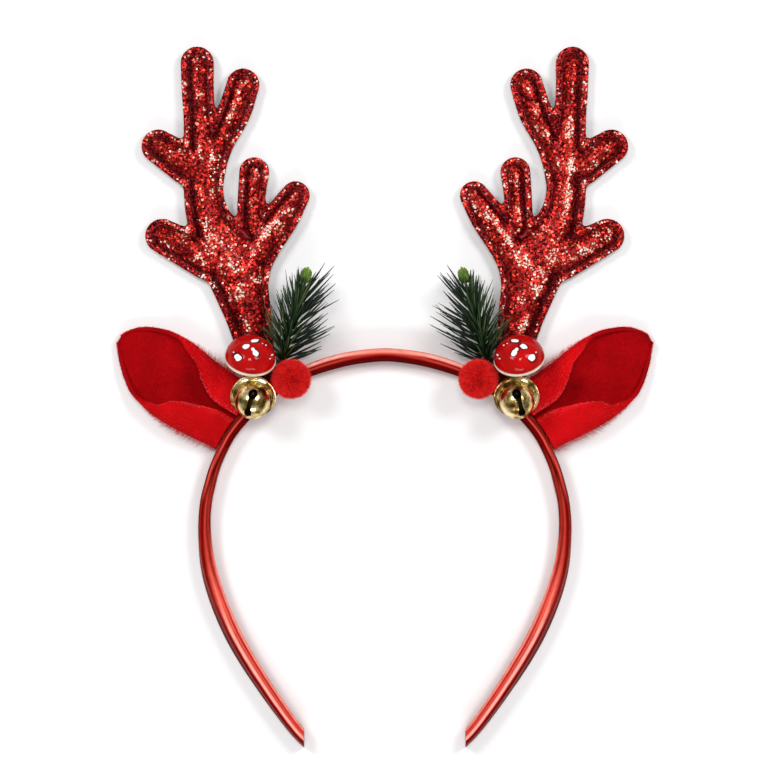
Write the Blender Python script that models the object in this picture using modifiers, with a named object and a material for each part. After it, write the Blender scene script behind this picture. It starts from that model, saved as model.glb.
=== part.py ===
"""Reindeer antler headband: a satin covered hoop with two padded glitter antlers and two plush
ears, and on each side a mushroom, a jingle bell, a pompom and a sprig of pine.

It lies on its back. X runs across, Y runs up towards the antler tips and Z comes out of the
front. Both sides are alike: tables hold millimetres for the side at +X, with "out" measured
from the middle of the hoop, and the other side is its mirror image.
"""

import math
import random

import bmesh
import bpy
import numpy as np
from mathutils import Matrix, Vector
from mathutils.geometry import delaunay_2d_cdt

MM = 0.001
GAP = 0.3

# Hoop: rows of out, up, thickness, lean of the section in degrees
HOOP_DEPTH = 7.6
HOOP_CORNER = 1.0
HOOP_STEP = 6.5
HOOP_END_OUT = 30.3
HOOP_ROWS = [
    (0.0, 15.6, 4.9, 0.0),
    (8.4, 14.95, 5.0, 0.0),
    (15.9, 13.65, 5.1, 0.0),
    (23.4, 11.55, 5.0, 0.0),
    (30.9, 8.7, 4.7, 0.0),
    (38.4, 4.5, 4.4, 0.0),
    (45.9, -1.0, 4.2, 0.0),
    (52.8, -7.9, 4.1, 0.0),
    (57.9, -14.3, 4.0, 0.0),
    (61.4, -21.0, 3.9, 0.0),
    (63.9, -27.0, 4.0, 0.0),
    (65.6, -33.0, 4.2, 0.5),
    (67.0, -39.0, 4.4, 2.0),
    (67.7, -46.5, 4.5, 4.0),
    (67.5, -54.0, 4.7, 6.5),
    (66.4, -63.0, 5.0, 12.0),
    (64.2, -71.5, 5.1, 18.0),
    (60.9, -80.6, 5.1, 21.0),
    (56.6, -90.0, 5.1, 21.0),
    (51.5, -99.0, 5.1, 18.5),
    (45.7, -108.0, 5.0, 15.0),
    (39.5, -117.0, 4.8, 12.5),
    (33.0, -125.5, 4.6, 11.0),
    (27.0, -131.4, 4.6, 11.0),
]

# Antler: each branch is a row of out, up, half width
ANTLER_MID_Z = 4.0
ANTLER_EDGE_HALF = 0.8
ANTLER_BORDER = 2.4
ANTLER_PAD = 2.8
ANTLER_PAD_REACH = 6.0
ANTLER_GRID = 5.0
ANTLER_BRANCHES = {
    "beam": [
        (45.5, 0.0, 5.6),
        (48.5, 17.2, 6.9),
        (50.9, 29.2, 8.4),
        (53.6, 39.4, 10.0),
        (56.7, 50.2, 11.6),
        (63.9, 61.9, 9.0),
        (67.6, 72.8, 7.6),
        (68.4, 88.5, 7.1),
        (69.5, 103.5, 6.0),
        (70.2, 114.8, 6.0),
        (70.4, 125.1, 6.2),
    ],
    "upper_inner": [(53.2, 117.0, 6.1), (56.6, 106.5, 6.2), (62.0, 95.2, 5.4), (66.1, 84.0, 5.6)],
    "upper_outer": [(85.0, 93.9, 6.3), (74.4, 87.0, 7.5)],
    "lower_outer": [(83.5, 60.3, 6.4), (66.9, 51.8, 7.9)],
    "lower_middle": [(49.0, 84.2, 5.6), (50.0, 74.2, 5.2), (49.6, 64.1, 6.0)],
    "lower_inner": [(33.5, 75.5, 5.3), (38.7, 67.5, 6.6), (45.9, 57.4, 7.1), (51.1, 48.0, 7.5)],
}
BRANCH_BLEND = 2.6

# Ear: a plush sheet along a line from the hoop to the tip, its two long sides rolled forward.
# Rows of distance along, half width above, half width below, open half above, open half below,
# height of the roll, turn of the roll in degrees, lift of the back
EAR_BASE = (58.2, -6.4)
EAR_TIP = (99.9, 20.2)
EAR_THICK = 2.0
EAR_ROWS = [
    (-9.0, 12.9, 14.0, 0.9, 0.9, 5.0, 180, 1.8),
    (0.0, 12.9, 14.2, 0.9, 0.9, 5.4, 180, 1.8),
    (5.0, 13.0, 14.8, 0.9, 1.3, 6.6, 180, 1.8),
    (10.0, 13.2, 15.3, 1.9, 2.9, 7.8, 180, 1.8),
    (16.0, 13.6, 15.8, 6.0, 5.3, 8.6, 180, 1.8),
    (21.5, 14.1, 15.8, 10.5, 8.8, 7.6, 180, 1.9),
    (26.5, 14.4, 15.3, 14.0, 13.2, 7.2, 160, 2.0),
    (31.0, 14.1, 14.2, 15.0, 15.0, 6.4, 110, 2.2),
    (35.2, 13.4, 12.8, 15.0, 15.0, 5.2, 85, 2.4),
    (39.2, 12.0, 10.1, 15.0, 15.0, 4.4, 70, 2.6),
    (43.2, 10.1, 6.8, 15.0, 15.0, 3.6, 60, 2.9),
    (46.6, 7.5, 3.6, 15.0, 15.0, 2.8, 50, 3.2),
    (49.3, 2.8, 0.9, 15.0, 15.0, 2.0, 40, 3.4),
]
EAR_ACROSS_BACK = 4
EAR_ACROSS_ROLL = 4
EAR_ACROSS_FLAP = 2

# Mushroom: profile rows of radius, height above the middle of the rim
CAP_AT = (50.0, 13.9, 17.4)
CAP_ROOM = 10.1
CAP_AXIS = (-0.15, 0.76, 0.63)
CAP_PROFILE = [
    (0.0, 8.6),
    (3.3, 8.1),
    (6.2, 6.5),
    (8.2, 4.1),
    (9.2, 1.9),
    (9.3, 1.0),
    (8.7, 0.5),
    (0.0, 0.5),
]
GILL_PROFILE = [
    (0.0, 0.2),
    (8.7, 0.2),
    (9.5, -0.3),
    (9.6, -1.0),
    (8.9, -1.6),
    (3.0, -1.9),
    (2.6, -2.8),
    (0.0, -2.8),
]

# Jingle bell: profile rows of radius, height ahead of the rim. A deep front dome stands in a
# wider back bowl with a crimped rim, and the slot has a round hole at each end.
BELL_AT = (49.0, 0.1, 14.9)
BELL_AXIS = (0.0, -0.47, 0.88)
BELL_DOME = 6.5
BELL_DOME_AHEAD = 4.2
BELL_RIM = [
    (6.6, 2.0),
    (7.4, 0.9),
    (8.5, 0.4),
    (8.5, -0.4),
]
BELL_BOWL = (8.0, 5.6)
BELL_WALL = 0.6
SLOT_AXIS = (0.15, -0.09, 0.98)
SLOT_SPIN = 18.5
SLOT_LONG = 7.4
SLOT_WIDE = 1.5
SLOT_HOLES = (1.0, 1.45)
PELLET_RADIUS = 1.7

# Pompom: a ball of short tufts
POMPOM_AT = (34.8, 6.5, 15.7)
POMPOM_CORE = 6.5
POMPOM_TUFT = 1.1

# Pine sprig: stem rows of out, up, height
STEM_ROWS = [
    (38.7, 8.5, 5.2),
    (38.1, 12.8, 9.0),
    (35.2, 24.8, 11.6),
    (32.2, 35.0, 12.4),
    (30.4, 41.3, 12.6),
]
STEM_RADIUS = 0.8
NEEDLE_COUNT = 36
NEEDLE_RADIUS = 0.42
NEEDLE_FAN = (-50.0, 180.0)
NEEDLE_FLATTEN = 0.7
BUD_AT = (29.3, 45.4, 12.7)
BUD_AXIS = (-0.26, 0.96, 0.03)
BUD_SIZE = (1.7, 3.6)

RED_SATIN = ("red_satin", (0.42, 0.012, 0.018), 0.28, 0.3)
RED_GLITTER = ("red_glitter", (0.40, 0.01, 0.02), 0.30, 0.6)
RED_PLUSH = ("red_plush", (0.50, 0.012, 0.022), 0.95, 0.0)
RED_GLOSS = ("red_gloss", (0.62, 0.012, 0.012), 0.12, 0.0)
CREAM = ("cream", (0.83, 0.76, 0.62), 0.45, 0.0)
GOLD = ("pale_gold", (0.80, 0.62, 0.28), 0.16, 1.0)
STEEL = ("steel", (0.55, 0.55, 0.56), 0.30, 1.0)
RED_FUZZ = ("red_fuzz", (0.62, 0.01, 0.015), 0.95, 0.0)
PINE_GREEN = ("pine_green", (0.012, 0.05, 0.022), 0.42, 0.0)
BUD_GREEN = ("bud_green", (0.22, 0.40, 0.05), 0.50, 0.0)

for old in list(bpy.data.objects):
    bpy.data.objects.remove(old, do_unlink=True)

PARTS = bpy.data.collections.new("antler_headband")
bpy.context.scene.collection.children.link(PARTS)
CUTTERS = bpy.data.collections.new("cutters")
bpy.context.scene.collection.children.link(CUTTERS)


def material_for(spec, owner):
    """A plain shader of its own for one piece."""
    name, colour, roughness, metallic = spec
    material = bpy.data.materials.new(name + "_" + owner)
    material.use_nodes = True
    shader = material.node_tree.nodes["Principled BSDF"]
    shader.inputs["Base Color"].default_value = (*colour, 1.0)
    shader.inputs["Roughness"].default_value = roughness
    shader.inputs["Metallic"].default_value = metallic
    material.diffuse_color = (*colour, 1.0)
    return material


def mesh_object(name, points, faces, group, smooth=True):
    """An object in metres from points in millimetres."""
    mesh = bpy.data.meshes.new(name)
    mesh.from_pydata([tuple(c * MM for c in p) for p in points], [], [tuple(f) for f in faces])
    mesh.validate()
    shape = bmesh.new()
    shape.from_mesh(mesh)
    bmesh.ops.remove_doubles(shape, verts=shape.verts, dist=0.00002)
    if shape.faces:
        bmesh.ops.recalc_face_normals(shape, faces=shape.faces)
    shape.to_mesh(mesh)
    shape.free()
    for face in mesh.polygons:
        face.use_smooth = smooth
    thing = bpy.data.objects.new(name, mesh)
    group.objects.link(thing)
    return thing


def settle(thing):
    """Turn the modifiers of an object into its mesh, with clean outward faces."""
    graph = bpy.context.evaluated_depsgraph_get()
    mesh = bpy.data.meshes.new_from_object(thing.evaluated_get(graph))
    shape = bmesh.new()
    shape.from_mesh(mesh)
    bmesh.ops.remove_doubles(shape, verts=shape.verts, dist=0.00002)
    bmesh.ops.dissolve_degenerate(shape, dist=0.00001, edges=shape.edges)
    bmesh.ops.recalc_face_normals(shape, faces=shape.faces)
    shape.to_mesh(mesh)
    shape.free()
    thing.modifiers.clear()
    thing.data = mesh


def combine(thing, tool, operation):
    """Cut or join one closed shape with another by a Boolean."""
    tool.hide_render = True
    tool.display_type = "WIRE"
    step = thing.modifiers.new(operation.lower(), "BOOLEAN")
    step.operation = operation
    step.solver = "EXACT"
    step.use_self = operation == "UNION"
    step.object = tool
    settle(thing)
    bpy.data.objects.remove(tool, do_unlink=True)


def keep_largest(thing):
    """Drop the loose crumbs that a Boolean leaves beside the main body."""
    shape = bmesh.new()
    shape.from_mesh(thing.data)
    groups = []
    left = set(shape.faces)
    while left:
        group = [left.pop()]
        for face in group:
            for edge in face.edges:
                for other in edge.link_faces:
                    if other in left:
                        left.discard(other)
                        group.append(other)
        groups.append(group)
    groups.sort(key=len)
    for group in groups[:-1]:
        bmesh.ops.delete(shape, geom=group, context="FACES")
    shape.to_mesh(thing.data)
    shape.free()


def turned(name, profile, steps, group):
    """A closed body turned about Z from rows of radius and height, top to bottom."""
    mesh = bpy.data.meshes.new(name)
    points = [(radius * MM, 0.0, height * MM) for radius, height in profile]
    mesh.from_pydata(points, [(i, i + 1) for i in range(len(points) - 1)], [])
    thing = bpy.data.objects.new(name, mesh)
    group.objects.link(thing)
    screw = thing.modifiers.new("turn", "SCREW")
    screw.steps = steps
    screw.render_steps = steps
    screw.use_merge_vertices = True
    screw.merge_threshold = 0.00001
    screw.use_smooth_shade = True
    settle(thing)
    return thing


def mirrored(point, side):
    return Vector((point[0] * side, point[1], point[2]))


def place(thing, at, axis, side, spin=0.0):
    """Stand a body made about Z at a spot, Z along a direction and Y as far up as it can be."""
    ahead = mirrored(axis, side).normalized()
    across = Vector((0.0, 1.0, 0.0)).cross(ahead).normalized()
    aim = Matrix((across, ahead.cross(across), ahead)).transposed().to_4x4()
    turn = Matrix.Rotation(spin * side, 4, "Z")
    thing.matrix_world = Matrix.Translation(mirrored(at, side) * MM) @ aim @ turn
    thing.data.transform(thing.matrix_world)
    thing.matrix_world = Matrix.Identity(4)


def finish(thing, name, spec):
    thing.name = name
    thing.data.name = name
    thing.data.materials.clear()
    thing.data.materials.append(material_for(spec, name))


def smooth_line(rows, parts):
    """A curve through the rows, with the same number of points between each two."""
    keys = np.array(rows, float)
    keys = np.vstack([2 * keys[0] - keys[1], keys, 2 * keys[-1] - keys[-2]])
    line = []
    for i in range(1, len(keys) - 2):
        a, b, c, d = keys[i - 1:i + 3]
        for t in np.arange(parts) / parts:
            line.append(0.5 * (2 * b + (c - a) * t + (2 * a - 5 * b + 4 * c - d) * t ** 2
                               + (3 * b - a - 3 * c + d) * t ** 3))
    line.append(keys[-2])
    return np.array(line)


def even_line(line, step):
    """The same curve with points at an even distance."""
    run = np.r_[0.0, np.cumsum(np.linalg.norm(np.diff(line[:, :2], axis=0), axis=1))]
    marks = np.linspace(0.0, run[-1], max(2, round(run[-1] / step)) + 1)
    return np.column_stack([np.interp(marks, run, line[:, k]) for k in range(line.shape[1])])


HOOP_HALF_LINE = smooth_line(HOOP_ROWS, 6)


def hoop_distance(points):
    """Signed distance of flat points from the outer face of the hoop, positive outside."""
    best = np.full(len(points), 1e9)
    signed = np.zeros(len(points))
    for a, b in zip(HOOP_HALF_LINE[:-1], HOOP_HALF_LINE[1:]):
        along = b[:2] - a[:2]
        t = np.clip(((points - a[:2]) @ along) / (along @ along), 0.0, 1.0)
        off = points - a[:2] - t[:, None] * along
        far = np.linalg.norm(off, axis=1)
        outward = np.array([-along[1], along[0]]) / np.linalg.norm(along)
        near = far < best
        side = np.where(off @ outward < 0.0, -1.0, 1.0)
        half = 0.5 * (a[2] + t * (b[2] - a[2]))
        best = np.where(near, far, best)
        signed = np.where(near, side * far - half, signed)
    return signed


def build_hoop():
    half = [(out, up, thick, lean) for out, up, thick, lean in HOOP_ROWS]
    rows = [(-out, up, thick, lean) for out, up, thick, lean in reversed(half[1:])] + half
    line = even_line(smooth_line(rows, 8), HOOP_STEP)
    points = []
    for i, (x, y, thick, lean) in enumerate(line):
        ahead = line[min(i + 1, len(line) - 1), :2] - line[max(i - 1, 0), :2]
        ahead = ahead / np.linalg.norm(ahead)
        outward = np.array([-ahead[1], ahead[0]])
        tilt = math.radians(lean)
        flat_a = thick / 2 - HOOP_CORNER
        flat_b = HOOP_DEPTH / 2 - HOOP_CORNER
        middle = flat_b * math.cos(tilt) + flat_a * math.sin(tilt) + HOOP_CORNER
        for sign_a, sign_b, start in ((1, 1, 0), (-1, 1, 90), (-1, -1, 180), (1, -1, 270)):
            for turn in (0, 45, 90):
                angle = math.radians(start + turn)
                a = sign_a * flat_a + HOOP_CORNER * math.cos(angle)
                b = sign_b * flat_b + HOOP_CORNER * math.sin(angle)
                across = a * math.cos(tilt) - b * math.sin(tilt)
                height = a * math.sin(tilt) + b * math.cos(tilt)
                points.append((x + across * outward[0], y + across * outward[1], middle + height))
    faces = []
    for i in range(len(line) - 1):
        for k in range(12):
            n = (k + 1) % 12
            faces.append((i * 12 + k, i * 12 + n, i * 12 + 12 + n, i * 12 + 12 + k))
    faces.append(tuple(range(12)))
    faces.append(tuple(range((len(line) - 1) * 12, len(line) * 12)))
    hoop = mesh_object("band", points, faces, PARTS)
    shape = bmesh.new()
    shape.from_mesh(hoop.data)
    for side in (-1, 1):
        low = [v for v in shape.verts if v.co.y < -0.1]
        edges = [e for e in shape.edges if e.verts[0].co.y < -0.1 and e.verts[1].co.y < -0.1]
        sided = [v for v in low if v.co.x * side > 0]
        edges = [e for e in edges if e.verts[0].co.x * side > 0 and e.verts[1].co.x * side > 0]
        faces = [f for f in shape.faces if all(v in sided for v in f.verts)]
        cut = bmesh.ops.bisect_plane(shape, geom=sided + edges + faces, dist=0.000001,
                                     plane_co=(side * HOOP_END_OUT * MM, 0, 0),
                                     plane_no=(-side, 0, 0), clear_outer=True)
        rim = [e for e in cut["geom_cut"] if isinstance(e, bmesh.types.BMEdge)]
        bmesh.ops.contextual_create(shape, geom=rim)
    bmesh.ops.recalc_face_normals(shape, faces=shape.faces)
    shape.to_mesh(hoop.data)
    shape.free()
    finish(hoop, "band", RED_SATIN)


def branch_distance(points, rows):
    """Distance of flat points from one branch, negative inside it."""
    line = smooth_line(rows, 6) if len(rows) > 2 else np.array(rows, float)
    best = np.full(len(points), 1e9)
    for a, b in zip(line[:-1], line[1:]):
        along = b[:2] - a[:2]
        t = np.clip(((points - a[:2]) @ along) / (along @ along), 0.0, 1.0)
        far = np.linalg.norm(points - a[:2] - t[:, None] * along, axis=1)
        best = np.minimum(best, far - a[2] - t * (b[2] - a[2]))
    return best


def antler_distance(points):
    """Distance from the outline of the whole antler, negative inside it."""
    field = None
    for rows in ANTLER_BRANCHES.values():
        branch = branch_distance(points, rows)
        if field is None:
            field = branch
            continue
        mix = np.clip(BRANCH_BLEND - np.abs(field - branch), 0.0, None) / BRANCH_BLEND
        field = np.minimum(field, branch) - mix * mix * BRANCH_BLEND * 0.25
    return np.maximum(field, GAP - hoop_distance(points))


def outline(field_at, level, low, high, cell, slack):
    """The closed line on which a field has a level, thinned to a slack."""
    xs = np.arange(low[0], high[0] + cell, cell)
    ys = np.arange(low[1], high[1] + cell, cell)
    grid_x, grid_y = np.meshgrid(xs, ys)
    value = field_at(np.c_[grid_x.ravel(), grid_y.ravel()]).reshape(grid_x.shape) - level
    inside = value < 0
    links = {}
    place_of = {}

    def crossing(r, c, vertical):
        key = (r, c, vertical)
        if key not in place_of:
            r2, c2 = (r + 1, c) if vertical else (r, c + 1)
            t = value[r, c] / (value[r, c] - value[r2, c2])
            place_of[key] = (xs[c] + t * (xs[c2] - xs[c]), ys[r] + t * (ys[r2] - ys[r]))
        return key

    for r, c in zip(*np.nonzero(inside[:-1, :-1] | inside[1:, :-1] | inside[:-1, 1:]
                                | inside[1:, 1:])):
        edges = []
        if inside[r, c] != inside[r, c + 1]:
            edges.append(crossing(r, c, False))
        if inside[r, c + 1] != inside[r + 1, c + 1]:
            edges.append(crossing(r, c + 1, True))
        if inside[r + 1, c] != inside[r + 1, c + 1]:
            edges.append(crossing(r + 1, c, False))
        if inside[r, c] != inside[r + 1, c]:
            edges.append(crossing(r, c, True))
        if len(edges) == 2:
            links.setdefault(edges[0], []).append(edges[1])
            links.setdefault(edges[1], []).append(edges[0])
    loops = []
    left = set(links)
    while left:
        start = min(left)
        loop = [start]
        left.discard(start)
        while True:
            onward = [k for k in links[loop[-1]] if k in left]
            if not onward:
                break
            loop.append(onward[0])
            left.discard(onward[0])
        loops.append(np.array([place_of[k] for k in loop]))
    loop = max(loops, key=len)
    return thinned(loop, slack)


def thinned(loop, slack):
    """Leave out points of a closed line that lie within a slack of it."""
    far = int(np.argmax(np.linalg.norm(loop - loop[0], axis=1)))
    keep = {0, far}
    stack = [(0, far), (far, len(loop))]
    while stack:
        a, b = stack.pop()
        if b - a < 2:
            continue
        start, end = loop[a], loop[b % len(loop)]
        along = end - start
        inner = loop[a + 1:b] - start
        t = np.clip(inner @ along / max(along @ along, 1e-9), 0.0, 1.0)
        off = np.linalg.norm(inner - t[:, None] * along, axis=1)
        worst = int(np.argmax(off)) + a + 1
        if off.max() > slack or np.linalg.norm(along) > 9.0:
            if off.max() <= slack:
                worst = (a + b) // 2
            keep.add(worst)
            stack += [(a, worst), (worst, b)]
    return loop[sorted(keep)]


def pad_height(field):
    """Half the thickness of the antler at a depth inside its outline."""
    run = np.clip((-field - ANTLER_BORDER) / ANTLER_PAD_REACH, 0.0, 1.0)
    return ANTLER_EDGE_HALF + ANTLER_PAD * np.sqrt(run * (2.0 - run))


def build_antler(side, label):
    low, high = (22.0, -4.0), (96.0, 136.0)
    edge = outline(antler_distance, 0.0, low, high, 0.8, 0.16)
    seam = outline(antler_distance, -ANTLER_BORDER, low, high, 0.8, 0.22)
    xs = np.arange(low[0], high[0], ANTLER_GRID)
    ys = np.arange(low[1], high[1], ANTLER_GRID * 0.87)
    inner = np.array([(x + (0.5 * ANTLER_GRID if j % 2 else 0.0), y)
                      for j, y in enumerate(ys) for x in xs])
    spines = np.vstack([even_line(smooth_line(rows, 6), 4.5)[:, :2]
                        for rows in ANTLER_BRANCHES.values()])
    spaced = []
    for spot in spines:
        if all(np.hypot(*(spot - other)) > 3.0 for other in spaced):
            spaced.append(spot)
    spines = np.array(spaced)
    apart = np.linalg.norm(inner[:, None] - spines[None], axis=2).min(axis=1)
    inner = np.vstack([inner[apart > 3.2], spines])
    inner = inner[antler_distance(inner) < -ANTLER_BORDER - 1.1]
    flat = np.vstack([edge, seam, inner])
    n_edge, n_seam = len(edge), len(seam)
    rings = [(i, (i + 1) % n_edge) for i in range(n_edge)]
    rings += [(n_edge + i, n_edge + (i + 1) % n_seam) for i in range(n_seam)]
    result = delaunay_2d_cdt([Vector(p) for p in flat], rings, [], 0, 0.0001)
    flat = np.array([tuple(p) for p in result[0]])
    middles = np.array([flat[list(f)].mean(axis=0) for f in result[2]])
    depth = antler_distance(middles)
    faces = [f for f, d in zip(result[2], depth) if d < -0.02]
    rise = pad_height(np.minimum(antler_distance(flat), 0.0))
    n = len(flat)
    points = [(side * x, y, ANTLER_MID_Z + h) for (x, y), h in zip(flat, rise)]
    points += [(side * x, y, ANTLER_MID_Z - h) for (x, y), h in zip(flat, rise)]
    shell = [tuple(f) for f in faces]
    shell += [tuple(i + n for i in reversed(f)) for f in faces]
    used = {}
    for f in faces:
        for a, b in zip(f, f[1:] + f[:1]):
            used[(a, b)] = True
    for a, b in used:
        if (b, a) not in used:
            shell.append((b, a, a + n, b + n))
    antler = mesh_object("antler_" + label, points, shell, PARTS)
    finish(antler, "antler_" + label, RED_GLITTER)
    return edge


def prism(name, loop, low, high, side):
    """An upright block over a flat loop, used to cut."""
    n = len(loop)
    points = [(side * x, y, low) for x, y in loop] + [(side * x, y, high) for x, y in loop]
    faces = [tuple(range(n)), tuple(range(2 * n - 1, n - 1, -1))]
    faces += [(i, (i + 1) % n, n + (i + 1) % n, n + i) for i in range(n)]
    return mesh_object(name, points, faces, CUTTERS, smooth=False)


def ear_section(row):
    """Across and height of one section, from the lower free edge round the back to the upper."""
    above, below, open_above, open_below, rise, turn, lift = row
    radius = rise / 2
    sweep = math.radians(turn)
    reach = radius * (math.sin(sweep) if sweep < math.pi / 2 else 1.0)
    half = {}
    for sign, width, opening in ((1, above, open_above), (-1, below, open_below)):
        flat_end = width - reach
        back = [(sign * flat_end * k / EAR_ACROSS_BACK, lift) for k in range(EAR_ACROSS_BACK + 1)]
        roll = []
        for k in range(1, EAR_ACROSS_ROLL + 1):
            angle = sweep * k / EAR_ACROSS_ROLL
            roll.append((sign * (flat_end + radius * math.sin(angle)),
                         lift + radius * (1.0 - math.cos(angle))))
        end = roll[-1]
        onward = (math.cos(sweep), math.sin(sweep))
        length = max(0.35, flat_end - opening) if turn > 150 else 0.35
        flap = [(end[0] + sign * onward[0] * length * k / EAR_ACROSS_FLAP,
                 end[1] + onward[1] * length * k / EAR_ACROSS_FLAP)
                for k in range(1, EAR_ACROSS_FLAP + 1)]
        half[sign] = back + roll + flap
    return half[-1][::-1] + half[1][1:]


def build_ear(side, label, antler_edge):
    base, tip = np.array(EAR_BASE), np.array(EAR_TIP)
    along = (tip - base) / np.linalg.norm(tip - base)
    upward = np.array([-along[1], along[0]])
    rows = smooth_line(EAR_ROWS, 1)
    points = []
    for row in rows:
        for across, height in ear_section(row[1:]):
            spot = base + along * row[0] + upward * across
            points.append((side * spot[0], spot[1], height))
    count = len(points) // len(rows)
    faces = [(i * count + k, i * count + k + 1, (i + 1) * count + k + 1, (i + 1) * count + k)
             for i in range(len(rows) - 1) for k in range(count - 1)]
    ear = mesh_object("ear_" + label, points, faces, PARTS)
    thick = ear.modifiers.new("thick", "SOLIDIFY")
    thick.thickness = EAR_THICK * MM
    thick.offset = 0.0
    settle(ear)
    line = HOOP_HALF_LINE[::2]
    ahead = np.gradient(line[:, :2], axis=0)
    ahead = ahead / np.linalg.norm(ahead, axis=1)[:, None]
    outward = np.column_stack([-ahead[:, 1], ahead[:, 0]])
    outer = line[:, :2] + outward * (line[:, 2:3] / 2 + GAP)
    outer = outer[(outer[:, 0] > 5.0) & (outer[:, 1] > -60.0)]
    loop = np.vstack([outer, [(5.0, -60.0)]])
    combine(ear, prism("hoop_cut", loop, -5.0, 25.0, side), "DIFFERENCE")
    grown = outline(antler_distance, GAP * 1.2, (22.0, -6.0), (96.0, 136.0), 0.8, 0.1)
    grown = grown[grown[:, 1] < 45.0]
    combine(ear, prism("antler_cut", grown, -5.0, 25.0, side), "DIFFERENCE")
    keep_largest(ear)
    finish(ear, "ear_" + label, RED_PLUSH)


def build_mushroom(side, label):
    for name, profile, spec in (("mushroom_cap_", CAP_PROFILE, RED_GLOSS),
                                ("mushroom_gills_", GILL_PROFILE, CREAM)):
        piece = turned(name + label, profile, 18, PARTS)
        place(piece, CAP_AT, CAP_AXIS, side)
        finish(piece, name + label, spec)


def ball_profile(radius, steps):
    return [(radius * math.sin(math.pi * k / steps), radius * math.cos(math.pi * k / steps))
            for k in range(steps + 1)]


def bell_profile(inset, steps):
    """Front dome, rim and back bowl of the bell, moved inwards by the inset."""
    dome = BELL_DOME - inset
    wide, deep = BELL_BOWL[0] - inset, BELL_BOWL[1] - inset
    rows = [(dome * math.sin(math.pi / 2 * k / steps),
             BELL_DOME_AHEAD + dome * math.cos(math.pi / 2 * k / steps))
            for k in range(steps + 1)]
    rows += BELL_RIM if inset == 0.0 else [(dome, 2.0)]
    quarter = [math.pi / 2 * k / 4 for k in range(5)]
    rows += [(wide * math.cos(t), -0.9 - (deep - 0.9) * math.sin(t)) for t in quarter]
    rows[0] = (0.0, rows[0][1])
    rows[-1] = (0.0, rows[-1][1])
    return rows


def build_bell(side, label):
    bell = turned("bell_" + label, bell_profile(0.0, 5), 18, PARTS)
    place(bell, BELL_AT, BELL_AXIS, side)
    middle = Vector(BELL_AT) + Vector(BELL_AXIS).normalized() * BELL_DOME_AHEAD
    low, high = 3.0, BELL_DOME + 2.0
    slot = mesh_object("slot", [(x * SLOT_WIDE / 2, y * SLOT_LONG / 2, z)
                                for x in (-1, 1) for y in (-1, 1) for z in (low, high)],
                       [(0, 1, 3, 2), (4, 6, 7, 5), (0, 4, 5, 1), (2, 3, 7, 6),
                        (0, 2, 6, 4), (1, 5, 7, 3)], CUTTERS)
    for end, radius in zip((-1, 1), SLOT_HOLES):
        hole = turned("hole", [(0.0, high + 0.7), (radius, high + 0.7), (radius, low - 0.5),
                               (0.0, low - 0.5)], 10, CUTTERS)
        hole.data.transform(Matrix.Translation((0.0, end * SLOT_LONG / 2 * MM, 0.0)))
        combine(slot, hole, "UNION")
    place(slot, middle, SLOT_AXIS, side, spin=math.radians(SLOT_SPIN))
    combine(bell, slot, "DIFFERENCE")
    hollow = turned("hollow", bell_profile(BELL_WALL, 5), 18, CUTTERS)
    place(hollow, BELL_AT, BELL_AXIS, side, spin=math.radians(9.0))
    combine(bell, hollow, "DIFFERENCE")
    finish(bell, "bell_" + label, GOLD)
    pellet = turned("bell_pellet_" + label, ball_profile(PELLET_RADIUS, 6), 10, PARTS)
    drop = BELL_BOWL[1] - BELL_WALL - PELLET_RADIUS - GAP
    place(pellet, Vector(BELL_AT) - Vector(BELL_AXIS).normalized() * drop, BELL_AXIS, side)
    finish(pellet, "bell_pellet_" + label, STEEL)


def build_pompom(side, label):
    shape = bmesh.new()
    bmesh.ops.create_uvsphere(shape, u_segments=14, v_segments=9, radius=POMPOM_CORE * MM)
    bmesh.ops.poke(shape, faces=shape.faces, offset=POMPOM_TUFT * MM)
    mesh = bpy.data.meshes.new("pompom_" + label)
    shape.to_mesh(mesh)
    shape.free()
    pompom = bpy.data.objects.new("pompom_" + label, mesh)
    PARTS.objects.link(pompom)
    place(pompom, POMPOM_AT, (0.2, 0.3, 0.9), side)
    finish(pompom, "pompom_" + label, RED_FUZZ)


def tube(name, line, radii, sides, group):
    """A closed round body along a line, its radius given at each point."""
    points = []
    up = Vector((0.0, 0.0, 1.0))
    for i, spot in enumerate(line):
        ahead = (line[min(i + 1, len(line) - 1)] - line[max(i - 1, 0)]).normalized()
        across = ahead.cross(up).normalized()
        over = across.cross(ahead)
        for k in range(sides):
            angle = math.tau * k / sides
            points.append(spot + radii[i] * (across * math.cos(angle) + over * math.sin(angle)))
    faces = [(i * sides + k, i * sides + (k + 1) % sides, (i + 1) * sides + (k + 1) % sides,
              (i + 1) * sides + k) for i in range(len(line) - 1) for k in range(sides)]
    faces += [tuple(range(sides)), tuple(range((len(line) - 1) * sides, len(line) * sides))]
    return mesh_object(name, points, faces, group)


def stem_at(share):
    """Spot and direction on the pine stem at a share of its length."""
    line = even_line(smooth_line(STEM_ROWS, 6), 1.0)
    place_on = share * (len(line) - 1)
    i = min(int(place_on), len(line) - 2)
    a, b = Vector(line[i]), Vector(line[i + 1])
    return a.lerp(b, place_on - i), (b - a).normalized()


def needle_shape(share, turn):
    """Opening from the stem in radians and length of a needle, by its place on the stem."""
    toward_middle = 0.5 + 0.5 * math.cos(turn)
    opening_in = 51.0 - 26.0 * share - 60.0 * max(0.0, share - 0.75)
    opening_out = 74.0 - 56.0 * share - 40.0 * max(0.0, share - 0.8)
    opening = opening_out + (opening_in - opening_out) * toward_middle
    length_in = 20.2 - 34.0 * max(0.0, share - 0.66)
    length_out = 15.4 - 14.0 * max(0.0, share - 0.6)
    length = length_out + (length_in - length_out) * toward_middle
    return math.radians(opening), length * (1.0 - 0.25 * abs(math.sin(turn)))


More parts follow.
